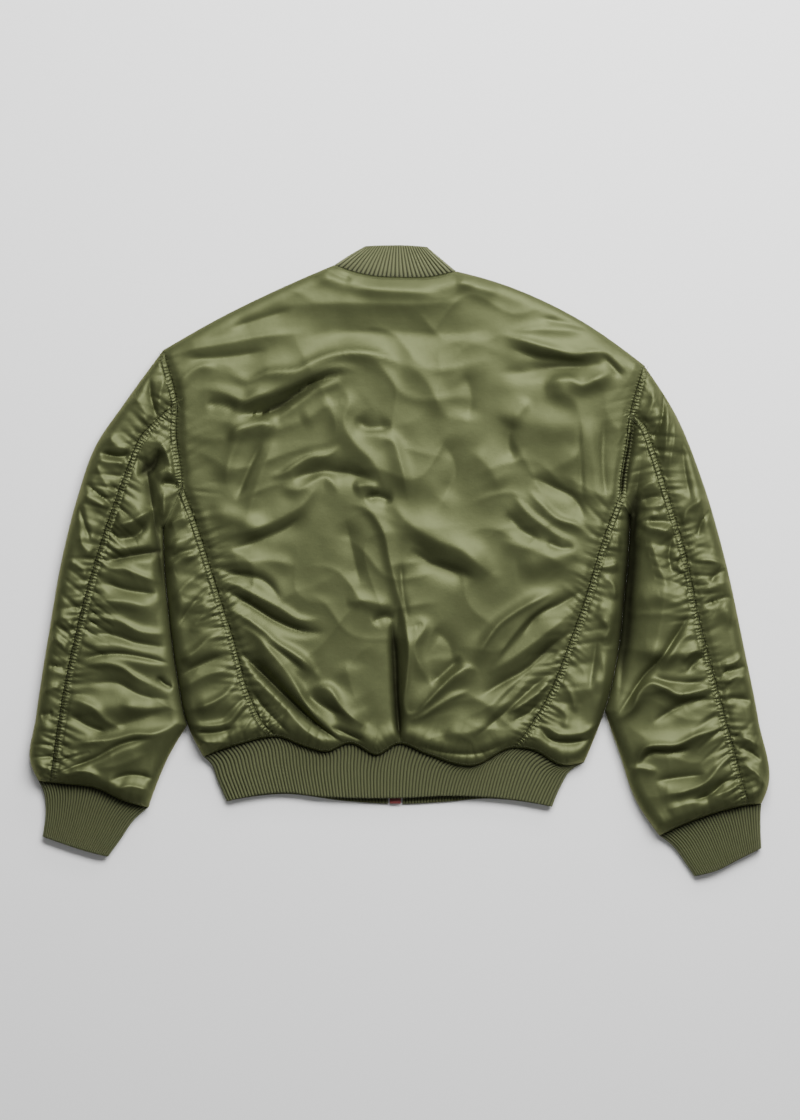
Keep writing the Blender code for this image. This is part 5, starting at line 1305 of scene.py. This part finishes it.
def band_layer(side, seam, end, sides, columns, rows, sizes, rib_count, outline_columns, edges):
    """One layer of a band between its seam, its free edge and its two ends: outer, inner, places."""
    plan = plan_grid(spread(seam, columns), sample(sides[1], rows), spread(end, columns), sample(sides[0], rows),
                     edges)
    on_outline = mask(plan, np.s_[:, outline_columns])
    depth = np.linalg.norm(sides[0][-1] - sides[0][0])
    outside, inside, count = ribs(columns, rows, rib_count, sizes.rib_depth / MM, depth)
    outer, inner = sheet(plan, side, on_outline, sizes, ribbed=(outside, inside))
    place = np.stack([count, np.broadcast_to(rows[:, None] * depth, count.shape)], axis=-1)
    return outer, inner, place


def cuff(side, sizes, material):
    line = LINES[side]
    rows = graded(30, 1.0, 2.0)
    sides = [smooth(edge[side]) for edge in (CUFF_OUTER, CUFF_INNER)]
    end = smooth(CUFF_END[side])
    layers = (("back", graded(CUFF_RIBS * 7, 1.0, 1.0)), ("front", graded(CUFF_RIBS * 2, 1.5, 1.5)))
    top, under = [band_layer(which, line["cuff"], end, sides, columns, rows, sizes, CUFF_RIBS, [0, -1], BAND_EDGES)
                  for which, columns in layers]
    parts = [np.concatenate([a, b[:, ::-1][:, 1:-1]], axis=1) for a, b in zip(top, under)]
    return wall("cuff_knit_" + side, parts[0], parts[1], material, (2, 2), parts[2], closed=True)


def open_band(name, sizes, material, outline, back, fronts, counts, rows):
    """A band from the zip round the back to the zip, its halves in front lying underneath."""
    front_edges = (BAND_SEAM, SEAM, OUTLINE_EDGE, OUTLINE_EDGE)
    columns = graded(counts[0] * 6, 0.8, 0.8)
    parts = list(band_layer("back", *back, outline, columns, rows, sizes, counts[0], [0, -1], BAND_EDGES))
    for k, (seam, edge) in enumerate(fronts):
        across = graded(counts[1] * 5, 1.0, 0.0)
        sides = (outline[k], np.array([seam[-1], edge[-1]]))
        under = band_layer("front", seam, edge, sides, across, rows, sizes, counts[1], [0], front_edges)
        for n in range(3):
            joined = [under[n][:, ::-1], parts[n][:, 1:]] if k == 0 else [parts[n], under[n][:, 1:]]
            parts[n] = np.concatenate(joined, axis=1)
    return wall(name, parts[0], parts[1], material, (1, 1), parts[2])


def waistband(sizes, material):
    outline = [smooth(HEM_SIDE[side]) for side in SIDES]
    ends = [split(from_side(HEM_EDGE_FRONT, side), at_slot(HEM_EDGE_FRONT, side, ZIP_HALF_SLOT))[0]
            for side in SIDES]
    fronts = [(LINES[side]["hem_front"], end) for side, end in zip(SIDES, ends)]
    return open_band("waistband_knit", sizes, material, outline, (smooth(HEM_SEAM_BACK), smooth(HEM_EDGE_BACK)),
                     fronts, (HEM_RIBS, HEM_FRONT_RIBS), graded(26, 1.0, 2.5))


def collar(sizes, material):
    outline = [smooth(COLLAR_SIDE[side]) for side in SIDES]
    ends = [split(from_side(COLLAR_TOP_FRONT, side), at_slot(COLLAR_TOP_FRONT, side, COLLAR_HALF_SLOT))[0]
            for side in SIDES]
    fronts = [(LINES[side]["neck_to_collar_end"], end) for side, end in zip(SIDES, ends)]
    return open_band("collar_knit", sizes, material, outline, (smooth(NECK_SEAM_BACK), smooth(COLLAR_TOP_BACK)),
                     fronts, (COLLAR_RIBS, COLLAR_FRONT_RIBS), graded(22, 1.0, 2.0))


# ---------------------------------------------------------------- materials
def new_group(kind, name, inputs, outputs):
    """A node group with named inputs (label, kind, default) and outputs, and its input and output nodes."""
    group = bpy.data.node_groups.new(name, kind)
    for label, socket_kind, value in inputs:
        socket = group.interface.new_socket(label, in_out="INPUT", socket_type="NodeSocket" + socket_kind)
        if value is not None:
            socket.default_value = value
    for label, socket_kind in outputs:
        group.interface.new_socket(label, in_out="OUTPUT", socket_type="NodeSocket" + socket_kind)
    return group, group.nodes.new("NodeGroupInput"), group.nodes.new("NodeGroupOutput")


def feed(tree, node, values):
    """Set a node's inputs: each value is a socket to link from, or a setting."""
    for label, value in values.items():
        if isinstance(value, bpy.types.NodeSocket):
            tree.links.new(value, node.inputs[label])
        else:
            node.inputs[label].default_value = value


def new_node(tree, kind, values=None, **settings):
    """A node with its settings, and inputs that are fed."""
    node = tree.nodes.new(kind)
    for name, value in settings.items():
        setattr(node, name, value)
    feed(tree, node, values or {})
    return node


def maths(tree, operation, *operands):
    """A Math node's result; each operand is a socket or a number."""
    return new_node(tree, "ShaderNodeMath", dict(enumerate(operands)), operation=operation).outputs[0]


def plus(tree, first, *others):
    """The sum of sockets and numbers."""
    for other in others:
        first = maths(tree, "ADD", first, other)
    return first


def times(tree, first, second):
    """The product of two sockets, or of a socket and a number."""
    return maths(tree, "MULTIPLY", first, second)


def noise(tree, vector, scale, detail=2.0, roughness=0.5, stretch=None):
    """A noise texture on a vector, which may be stretched first."""
    if stretch:
        vector = new_node(tree, "ShaderNodeMapping", {"Scale": stretch, "Vector": vector}).outputs["Vector"]
    values = {"Scale": scale, "Detail": detail, "Roughness": roughness, "Vector": vector}
    return new_node(tree, "ShaderNodeTexNoise", values).outputs["Fac"]


def map_parts(tree, name):
    """A UV map's vector and its two parts."""
    vector = new_node(tree, "ShaderNodeUVMap", uv_map=name).outputs["UV"]
    return (vector, *new_node(tree, "ShaderNodeSeparateXYZ", {0: vector}).outputs[:2])


def satin_group():
    """Height of a satin weave with small creases, and how its colour wanders, over a cloth's own places."""
    group, source, sink = new_group("ShaderNodeTree", "Satin weave", (
        ("Place", "Vector", None), ("Thread", "Float", 1.0), ("Crease", "Float", 1.0)),
        (("Height", "Float"), ("Tone", "Float")))
    place = source.outputs["Place"]
    threads = noise(group, place, 900.0, 2.0, 0.6, (1.0, 0.16, 1.0))
    floats = noise(group, place, 420.0, 1.0, 0.5, (0.3, 1.0, 1.0))
    creases = noise(group, place, 70.0, 4.0, 0.6)
    swells = noise(group, place, 26.0, 3.0, 0.55)
    fine = times(group, plus(group, threads, floats), source.outputs["Thread"])
    rough = times(group, plus(group, creases, times(group, swells, 1.6)), source.outputs["Crease"])
    feed(group, sink, {"Height": plus(group, times(group, fine, 0.05), rough),
                       "Tone": plus(group, times(group, creases, 0.4), times(group, swells, 0.6))})
    return group


def knit_group():
    """Height of knit stitches up the ribs of a band, and how deep between two ribs a place lies, which paints shade
    into the grooves.
    """
    group, source, sink = new_group("ShaderNodeTree", "Rib knit", (
        ("Place", "Vector", None), ("Stitch", "Float", 1.5)),
        (("Height", "Float"), ("Groove", "Float"), ("Tone", "Float")))
    across, up = new_node(group, "ShaderNodeSeparateXYZ", {0: source.outputs["Place"]}).outputs[:2]
    rib = maths(group, "ABSOLUTE", maths(group, "SUBTRACT", times(group, maths(group, "FRACT", across), 2.0), 1.0))
    slant = plus(group, maths(group, "DIVIDE", up, source.outputs["Stitch"]), times(group, rib, 0.45))
    loops = maths(group, "SINE", times(group, slant, 2 * np.pi))
    fuzz = noise(group, source.outputs["Place"], 2.2, 3.0, 0.6, (3.0, 0.5, 1.0))
    feed(group, sink, {"Height": plus(group, times(group, loops, 0.5), fuzz),
                       "Groove": maths(group, "POWER", rib, 3.0), "Tone": fuzz})
    return group


def new_material(name, values):
    """A node material, its shader with some values set, and its node tree."""
    material = bpy.data.materials.new(name)
    material.use_nodes = True
    shader = material.node_tree.nodes["Principled BSDF"]
    feed(material.node_tree, shader, values)
    return material, shader, material.node_tree


def tone_ramp(tree, factor, dark, light, shader):
    """Mix two colours by a factor into a shader's base colour."""
    blend = new_node(tree, "ShaderNodeMix", data_type="RGBA")
    feed(tree, blend, {"A": (*dark, 1), "B": (*light, 1), "Factor": factor})
    feed(tree, shader, {"Base Color": blend.outputs["Result"]})


def bump(tree, height, strength, distance, shader):
    node = new_node(tree, "ShaderNodeBump", {"Strength": strength, "Distance": distance, "Height": height})
    feed(tree, shader, {"Normal": node.outputs["Normal"]})


def shade(colour, factor):
    return tuple(c * factor for c in colour)


def seam_gathers(tree, place):
    """Height of the small gathers that two rows of stitches draw across a seam's band, for the bump and for painted
    light and shade in the tone.
    """
    _, seam_place, off_middle = map_parts(tree, "Seam")
    wander = times(tree, noise(tree, place, 110.0, 2.0), 7.0)
    run = times(tree, plus(tree, seam_place, wander), 2 * np.pi / GATHER_PITCH)
    off_middle = maths(tree, "DIVIDE", off_middle, BAND_WIDTH)
    near = maths(tree, "MAXIMUM", maths(tree, "SUBTRACT", 1.0, off_middle), 0.0)
    return times(tree, maths(tree, "SINE", run), times(tree, near, GATHER_HEIGHT))


def nylon_material(colours):
    material, shader, tree = new_material(NYLON, {
        "Roughness": 0.53, "Metallic": 0.7, "Specular IOR Level": 0.3, "Specular Tint": (1.0, 1.0, 0.6, 1),
        "Sheen Weight": 0.04, "Sheen Roughness": 0.4, "Sheen Tint": (0.75, 0.8, 0.45, 1)})
    place = new_node(tree, "ShaderNodeTexCoord").outputs["Object"]
    weave = new_node(tree, "ShaderNodeGroup", {"Place": place, "Crease": 0.3}, node_tree=satin_group()).outputs
    gathers = seam_gathers(tree, place)
    # painted shade: the tone darkens deep in the folds
    depth = new_node(tree, "ShaderNodeAttribute", attribute_name="Fold depth").outputs["Fac"]
    # the tone is lighter on the seam gathers' crests and darker between them: painted light and shade
    tone = plus(tree, times(tree, weave["Tone"], 0.36), times(tree, gathers, 0.12), times(tree, depth, -0.6), 0.45)
    tone_ramp(tree, tone, shade(colours.nylon, 0.1), shade(colours.nylon, 1.5), shader)
    bump(tree, plus(tree, weave["Height"], gathers), 0.55, 0.0011, shader)
    return material


def knit_material(name, colour):
    material, shader, tree = new_material(name, {
        "Roughness": 0.85, "Metallic": 0.0, "Specular IOR Level": 0.3,
        "Sheen Weight": 0.2, "Sheen Roughness": 0.5, "Sheen Tint": (0.7, 0.75, 0.4, 1)})
    place, _, up = map_parts(tree, "Cloth")
    group = bpy.data.node_groups.get("Rib knit") or knit_group()
    knit = new_node(tree, "ShaderNodeGroup", {"Place": place}, node_tree=group).outputs
    seam_shadow = maths(tree, "POWER", 0.86, up)     # painted shadow: near the seam the knit is darker, under the padded cloth that stands over it
    # painted shade: the knit is darker deep in the grooves between its ribs
    level = plus(tree, times(tree, knit["Tone"], 0.5), times(tree, knit["Groove"], -0.9), times(tree, seam_shadow, -0.4),
                  0.57)
    tone_ramp(tree, maths(tree, "MAXIMUM", level, 0.0), shade(colour, 0.12), shade(colour, 1.5), shader)
    bump(tree, knit["Height"], 0.6, 0.0004, shader)
    return material


def plain_material(name, colour, roughness, metallic, scale, relief_height):
    """A material whose tone and surface wander a little at one scale."""
    material, shader, tree = new_material(name, {"Roughness": roughness, "Metallic": metallic})
    place = new_node(tree, "ShaderNodeTexCoord").outputs["Object"]
    grain = noise(tree, place, scale, 3.0)
    tone_ramp(tree, grain, shade(colour, 0.8), shade(colour, 1.2), shader)
    bump(tree, grain, 0.4, relief_height, shader)
    return material


MATERIAL_NAMES = {
    "nylon": NYLON, "knit": "Olive rib knit", "collar knit": "Olive collar knit", "thread": "Olive sewing thread",
    "tape": "Zip tape weave", "metal": "Nickel zip metal", "end": "Dark red zip end",
}
PLAIN_MATERIALS = {      # colour, roughness, metallic, scale and height of the grain
    "thread": ("thread", 0.6, 0.0, 3000.0, 0.0001),
    "tape": ("tape", 0.8, 0.0, 2200.0, 0.0002),
    "metal": ("metal", 0.3, 1.0, 400.0, 0.00005),
    "end": ("zip_end", 0.55, 0.0, 900.0, 0.0001),
}


def material_of(name):
    """One of the jacket's materials, made when it is first asked for."""
    colours = bpy.context.scene.jacket_colours
    label = MATERIAL_NAMES[name]
    found = bpy.data.materials.get(label)
    if found:
        return found
    if name == "nylon":
        return nylon_material(colours)
    if name in PLAIN_MATERIALS:
        colour, *finish = PLAIN_MATERIALS[name]
        return plain_material(label, getattr(colours, colour), *finish)
    # the collar gets the lighter copy of the knit's olive (painted light), the other bands the darker (painted shade)
    return knit_material(label, colours.knit if name == "knit" else colours.collar)


# ---------------------------------------------------------------- what repeats: stitches and teeth
def instance_tree(name):
    """A geometry tree that sets a small shape at every step along a curve, turned along it."""
    tree, source, sink = new_group("GeometryNodeTree", name, (
        ("Geometry", "Geometry", None), ("Pitch", "Float", 0.003), ("Length", "Float", 0.002),
        ("Width", "Float", 0.0006), ("Height", "Float", 0.0006), ("Material", "Material", None)),
        (("Geometry", "Geometry"),))
    given = source.outputs

    def step(kind, values, **settings):
        return new_node(tree, kind, values, **settings).outputs[0]

    points = step("GeometryNodeResampleCurve", {"Curve": given["Geometry"], "Length": given["Pitch"]}, mode="LENGTH")
    size = step("ShaderNodeCombineXYZ", {0: given["Width"], 1: given["Height"], 2: given["Length"]})
    shape = step("GeometryNodeMeshIcoSphere", {"Radius": 0.5, "Subdivisions": 1})
    sized = step("GeometryNodeTransform", {"Geometry": shape, "Scale": size})
    turn = step("FunctionNodeAlignRotationToVector", {"Vector": step("GeometryNodeInputTangent", {})}, axis="Z")
    put = step("GeometryNodeInstanceOnPoints", {"Points": points, "Instance": sized, "Rotation": turn})
    real = step("GeometryNodeRealizeInstances", {0: put})
    feed(tree, sink, {0: step("GeometryNodeSetMaterial", {"Geometry": real, "Material": given["Material"]})})
    return tree


def along_curves(name, lines, tree, values, material):
    """A plain mesh of what a geometry tree makes along polylines (rows of x, y, z in metres)."""
    values = {**values, "Material": material}
    curve = bpy.data.curves.new(name, "CURVE")
    curve.dimensions = "3D"
    for line in lines:
        spline = curve.splines.new("POLY")
        spline.points.add(len(line) - 1)
        spline.points.foreach_set("co", np.column_stack([line, np.ones(len(line))]).ravel())
    carrier = link_object(name + "_path", curve)
    modifier = carrier.modifiers.new(name, "NODES")
    modifier.node_group = tree
    for item in tree.interface.items_tree:
        if item.in_out == "INPUT" and item.name in values:
            modifier[item.identifier] = values[item.name]
    evaluated = carrier.evaluated_get(bpy.context.evaluated_depsgraph_get())
    mesh = bpy.data.meshes.new_from_object(evaluated)
    carrier.modifiers.clear()
    bpy.data.objects.remove(carrier)
    bpy.data.curves.remove(curve)
    mesh.name = name
    if not mesh.materials:
        mesh.materials.append(material)
    mesh.shade_smooth()
    return link_object(name, mesh)


def top_height(points, sizes):
    """Height of the padded cloth's upper surface over plan points."""
    flat = layer(points, np.zeros(points.shape), "back", np.zeros(len(points), bool), False)
    return flat.outer + relief(points, flat, sizes)


def shifted(line, amount):
    """A plan line moved sideways; a positive amount is to its left."""
    run = np.gradient(line, axis=0)
    normal = np.column_stack([-run[:, 1], run[:, 0]]) / np.linalg.norm(run, axis=1)[:, None]
    return line + amount * normal


def stitch_lines(sizes):
    """Two rows of stitches on the band of every felled seam and one beside every rib knit band."""
    lines = []
    for seam in SEAMS:
        line = sample(seam.line, np.linspace(0.004, 0.992, int(lengths(seam.line)[-1] / ROW_STEP)))
        lines += [shifted(line, offset * seam.band) for offset in SEAM_ROWS]
    edges = [(smooth(HEM_SEAM_BACK), 1), (smooth(NECK_SEAM_BACK), -1)]
    edges += [(smooth(CUFF_SEAM[side]), 1) for side in SIDES]
    for line, up in edges:
        up *= np.sign(line[-1, 0] - line[0, 0])
        line = sample(line, np.linspace(0.03, 0.97, int(lengths(line)[-1] / ROW_STEP)))
        lines.append(shifted(line, EDGE_ROW * up))
    return [in_metres(np.column_stack([row, top_height(row, sizes) + STITCH_LIFT])) for row in lines]


# ---------------------------------------------------------------- the zip
def zip_middle(y):
    """Height of the zip's middle, low in the waistband and higher between the fronts."""
    return mix(ZIP_LOW, ZIP_HIGH, smoothstep(ZIP_RISE[0], ZIP_RISE[1], y))


def tooth_lines():
    """Two rows of teeth that mesh along the zip's middle."""
    y = np.linspace(CHAIN_BOTTOM, CHAIN_TOP, CHAIN_POINTS)
    lines = []
    for x, start in ((-TOOTH_OFFSET, 0.0), (TOOTH_OFFSET, TOOTH_PITCH / 2)):
        line = np.column_stack([np.full(len(y), ZIP_X + x), y + start, zip_middle(y)])
        line = line[line[:, 1] < CHAIN_TOP]
        lines.append(in_metres(line))
    return lines


def rounded_box(name, low, high, radius, material):
    """A block between two corners, in metres, with every edge rounded."""
    form = bmesh.new()
    bmesh.ops.create_cube(form, size=1.0)
    size, middle = [(b - a) for a, b in zip(low, high)], [(a + b) / 2 for a, b in zip(low, high)]
    bmesh.ops.scale(form, vec=size, verts=form.verts)
    bmesh.ops.translate(form, vec=middle, verts=form.verts)
    bmesh.ops.bevel(form, geom=form.edges[:], offset=radius, segments=4, profile=0.5, affect="EDGES")
    mesh = bpy.data.meshes.new(name)
    form.to_mesh(mesh)
    form.free()
    mesh.shade_smooth()
    mesh.materials.append(material)
    return link_object(name, mesh)


# ---------------------------------------------------------------- sizes and colours
def length_field(name, description, default):
    return bpy.props.FloatProperty(name=name, description=description, default=default, unit="LENGTH", min=0.0)


def share_field(name, description, default):
    return bpy.props.FloatProperty(name=name, description=description, default=default, subtype="FACTOR",
                                   min=0.0, max=2.0)


def colour_field(name, description, default):
    return bpy.props.FloatVectorProperty(name=name, description=description, default=default, size=3,
                                         subtype="COLOR", min=0.0, max=1.0)


class JacketSizes(bpy.types.PropertyGroup):
    """Sizes that a user may change."""
    pucker: share_field("Pucker", "How strongly the cloth gathers along its double-stitched seams", 1.0)
    fold: share_field("Fold", "Height of the large folds, as a share of the laid-out shape", 1.0)
    crease: share_field("Crease", "Height of the smaller folds and creases, as a share of their table", 1.0)
    softness: share_field("Softness", "Faint swells of the padding", 0.5)
    blouse: length_field("Blouse", "How far the cloth stands over the bands that it is gathered onto", 0.003)
    rib_depth: length_field("Rib depth", "Depth of the grooves between the knitted ribs", 0.0022)
    stitch_pitch: length_field("Stitch pitch", "From one stitch to the next along a seam", 0.0032)
    stitch_length: length_field("Stitch length", "Length of the thread that shows in one stitch", 0.0024)
    stitch_width: length_field("Stitch width", "Thickness of the sewing thread", 0.0006)
    tooth_pitch: length_field("Tooth pitch", "From one zip tooth to the next in one row", 0.0028)


class JacketColours(bpy.types.PropertyGroup):
    """Colours that a user may change."""
    nylon: colour_field("Nylon", "Olive of the satin shell", (0.073, 0.083, 0.037))
    # painted shade: the waistband and cuffs take a darker copy of the knit's olive
    knit: colour_field("Rib knit", "Olive of the knitted waistband and cuffs, painted darker as if shaded", (0.058, 0.065, 0.027))
    # painted light: the collar takes a lighter copy of the same knit's olive
    collar: colour_field("Collar knit", "Olive of the collar knit, painted lighter as if more lit", (0.092, 0.100, 0.047))
    thread: colour_field("Thread", "Sewing thread", (0.055, 0.063, 0.025))
    tape: colour_field("Zip tape", "Woven tape beside the teeth", (0.060, 0.065, 0.030))
    metal: colour_field("Metal", "Teeth, slider and pull", (0.55, 0.52, 0.45))
    zip_end: colour_field("Zip end", "Moulded end of the zip at the hem", (0.13, 0.018, 0.018))
    floor: colour_field("Floor", "Pale surface that the jacket lies on", (0.90, 0.90, 0.90))


# ---------------------------------------------------------------- operators
class JacketOperator:
    """What the operators share."""
    bl_options = {"REGISTER"}

    def sizes(self):
        return bpy.context.scene.jacket_sizes


def dress(piece, slot, *nodes):
    """Tie a finished piece to the jacket's body and hide the nodes it stands for; its finish, slot, is not used."""
    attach(piece, BODY)
    if nodes:
        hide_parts(*nodes)


class JACKET_OT_backs(JacketOperator, bpy.types.Operator):
    """Build the back and its two side panels"""
    bl_idname = "jacket.backs"
    bl_label = "Back panels"

    def execute(self, context):
        nylon = material_of("nylon")
        piece = back_panel(self.sizes(), nylon)
        dress(piece, "nylon", "back_panel")
        for side in SIDES:
            piece = side_back(side, self.sizes(), nylon)
            dress(piece, "nylon", "side_back_" + side)
        return {"FINISHED"}


class JACKET_OT_fronts(JacketOperator, bpy.types.Operator):
    """Build the two fronts that lie underneath"""
    bl_idname = "jacket.fronts"
    bl_label = "Fronts"

    def execute(self, context):
        for side in SIDES:
            piece = front(side, self.sizes(), material_of("nylon"))
            dress(piece, "nylon", "front_" + side)
        return {"FINISHED"}


class JACKET_OT_sleeves(JacketOperator, bpy.types.Operator):
    """Build the upper and under pieces of both sleeves"""
    bl_idname = "jacket.sleeves"
    bl_label = "Sleeves"

    def execute(self, context):
        for side in SIDES:
            for make, name in ((sleeve_upper, "sleeve_upper_"), (sleeve_under, "sleeve_under_")):
                piece = make(side, self.sizes(), material_of("nylon"))
                dress(piece, "nylon", name + side)
        return {"FINISHED"}


class JACKET_OT_bands(JacketOperator, bpy.types.Operator):
    """Build the rib knit waistband, collar and cuffs"""
    bl_idname = "jacket.bands"
    bl_label = "Rib knit bands"

    def execute(self, context):
        knit = material_of("knit")
        piece = waistband(self.sizes(), knit)
        dress(piece, "rib_knit", "hem_rib")
        piece = collar(self.sizes(), material_of("collar knit"))
        dress(piece, "rib_knit", "collar")
        for side in SIDES:
            piece = cuff(side, self.sizes(), knit)
            dress(piece, "rib_knit", "cuff_" + side)
        return {"FINISHED"}


class JACKET_OT_stitches(JacketOperator, bpy.types.Operator):
    """Sew two rows of stitches along each felled seam, and one beside each rib knit band"""
    bl_idname = "jacket.stitches"
    bl_label = "Stitches"

    def execute(self, context):
        sizes = self.sizes()
        tree = instance_tree("Stitches along a seam")
        values = {"Pitch": sizes.stitch_pitch, "Length": sizes.stitch_length, "Width": sizes.stitch_width,
                  "Height": sizes.stitch_width}
        piece = along_curves("seam_stitches", stitch_lines(sizes), tree, values, material_of("thread"))
        dress(piece, "nylon")
        return {"FINISHED"}


class JACKET_OT_zip(JacketOperator, bpy.types.Operator):
    """Build the zip's teeth and end, and finish its tape, slider and pull"""
    bl_idname = "jacket.zip"
    bl_label = "Zip"

    def execute(self, context):
        sizes = self.sizes()
        tree = instance_tree("Zip teeth")
        values = {"Pitch": sizes.tooth_pitch, **TOOTH_SIZE}
        piece = along_curves("zip_teeth", tooth_lines(), tree, values, material_of("metal"))
        dress(piece, "zip_metal", "zip_chain")
        low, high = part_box("zip_box")
        piece = rounded_box("zip_end", low, high, ZIP_END_ROUNDING, material_of("end"))
        dress(piece, "zip_end", "zip_box")
        for node, name in (("zip_tape_left", "tape"), ("zip_tape_right", "tape"), ("zip_slider", "metal"),
                           ("zip_pull", "metal")):
            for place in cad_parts[node].material_slots:
                place.material = material_of(name)
        return {"FINISHED"}


class JACKET_OT_stage(JacketOperator, bpy.types.Operator):
    """Set up the floor, the soft studio light and the camera above"""
    bl_idname = "jacket.stage"
    bl_label = "Floor, light and camera"

    def execute(self, context):
        colours = context.scene.jacket_colours
        mesh = bpy.data.meshes.new("floor")
        corners = [(x * FLOOR_HALF, y * FLOOR_HALF, 0) for x, y in ((-1, -1), (1, -1), (1, 1), (-1, 1))]
        mesh.from_pydata(corners, [], [(0, 1, 2, 3)])
        material, *_ = new_material("Pale floor", {"Roughness": 0.9, "Base Color": (*colours.floor, 1)})
        mesh.materials.append(material)
        floor = link_object("floor", mesh)
        for name, place, aim, size, power in LIGHTS:
            light = bpy.data.lights.new(name, "AREA")
            light.shape = "RECTANGLE"
            light.size, light.size_y = size
            light.energy = power
            lamp = link_object(name, light)
            lamp.location = place
            lamp.rotation_euler = (Vector(aim) - Vector(place)).to_track_quat("-Z", "Y").to_euler()
        world = bpy.data.worlds.new("Studio")
        world.use_nodes = True
        feed(world.node_tree, world.node_tree.nodes["Background"], {"Color": (1, 1, 1, 1), "Strength": WORLD_STRENGTH})
        context.scene.world = world
        camera = bpy.data.cameras.new("camera")
        camera.sensor_fit = "VERTICAL"
        camera.sensor_height = 36.0
        camera.lens = camera.sensor_height * (CAMERA_HEIGHT - FRAME_LEVEL) / FRAME_HEIGHT
        camera.clip_end = 50
        context.scene.camera = link_object("camera", camera)
        context.scene.camera.location = (*FRAME_MIDDLE, CAMERA_HEIGHT)
        return {"FINISHED"}


OPERATORS = (JACKET_OT_stage, JACKET_OT_backs, JACKET_OT_fronts, JACKET_OT_sleeves, JACKET_OT_bands,
             JACKET_OT_stitches, JACKET_OT_zip)


class JACKET_PT_panel(bpy.types.Panel):
    """The jacket's pieces, sizes and colours"""
    bl_idname = "JACKET_PT_panel"
    bl_label = "Flight jacket"
    bl_space_type = "VIEW_3D"
    bl_region_type = "UI"
    bl_category = "Jacket"

    def draw(self, context):
        layout = self.layout
        for operator in OPERATORS:
            layout.operator(operator.bl_idname)
        for group in (context.scene.jacket_sizes, context.scene.jacket_colours):
            box = layout.box()
            for field in group.bl_rna.properties.keys():
                if field not in ("rna_type", "name"):
                    box.prop(group, field)


CLASSES = (JacketSizes, JacketColours, *OPERATORS, JACKET_PT_panel)


def register():
    for item in CLASSES:
        bpy.utils.register_class(item)
    bpy.types.Scene.jacket_sizes = bpy.props.PointerProperty(type=JacketSizes)
    bpy.types.Scene.jacket_colours = bpy.props.PointerProperty(type=JacketColours)


def unregister():
    del bpy.types.Scene.jacket_colours
    del bpy.types.Scene.jacket_sizes
    for item in reversed(CLASSES):
        bpy.utils.unregister_class(item)


def main():
    register()
    for operator in OPERATORS:
        module, name = operator.bl_idname.split(".")
        getattr(getattr(bpy.ops, module), name)()


if __name__ == "__main__":
    main()
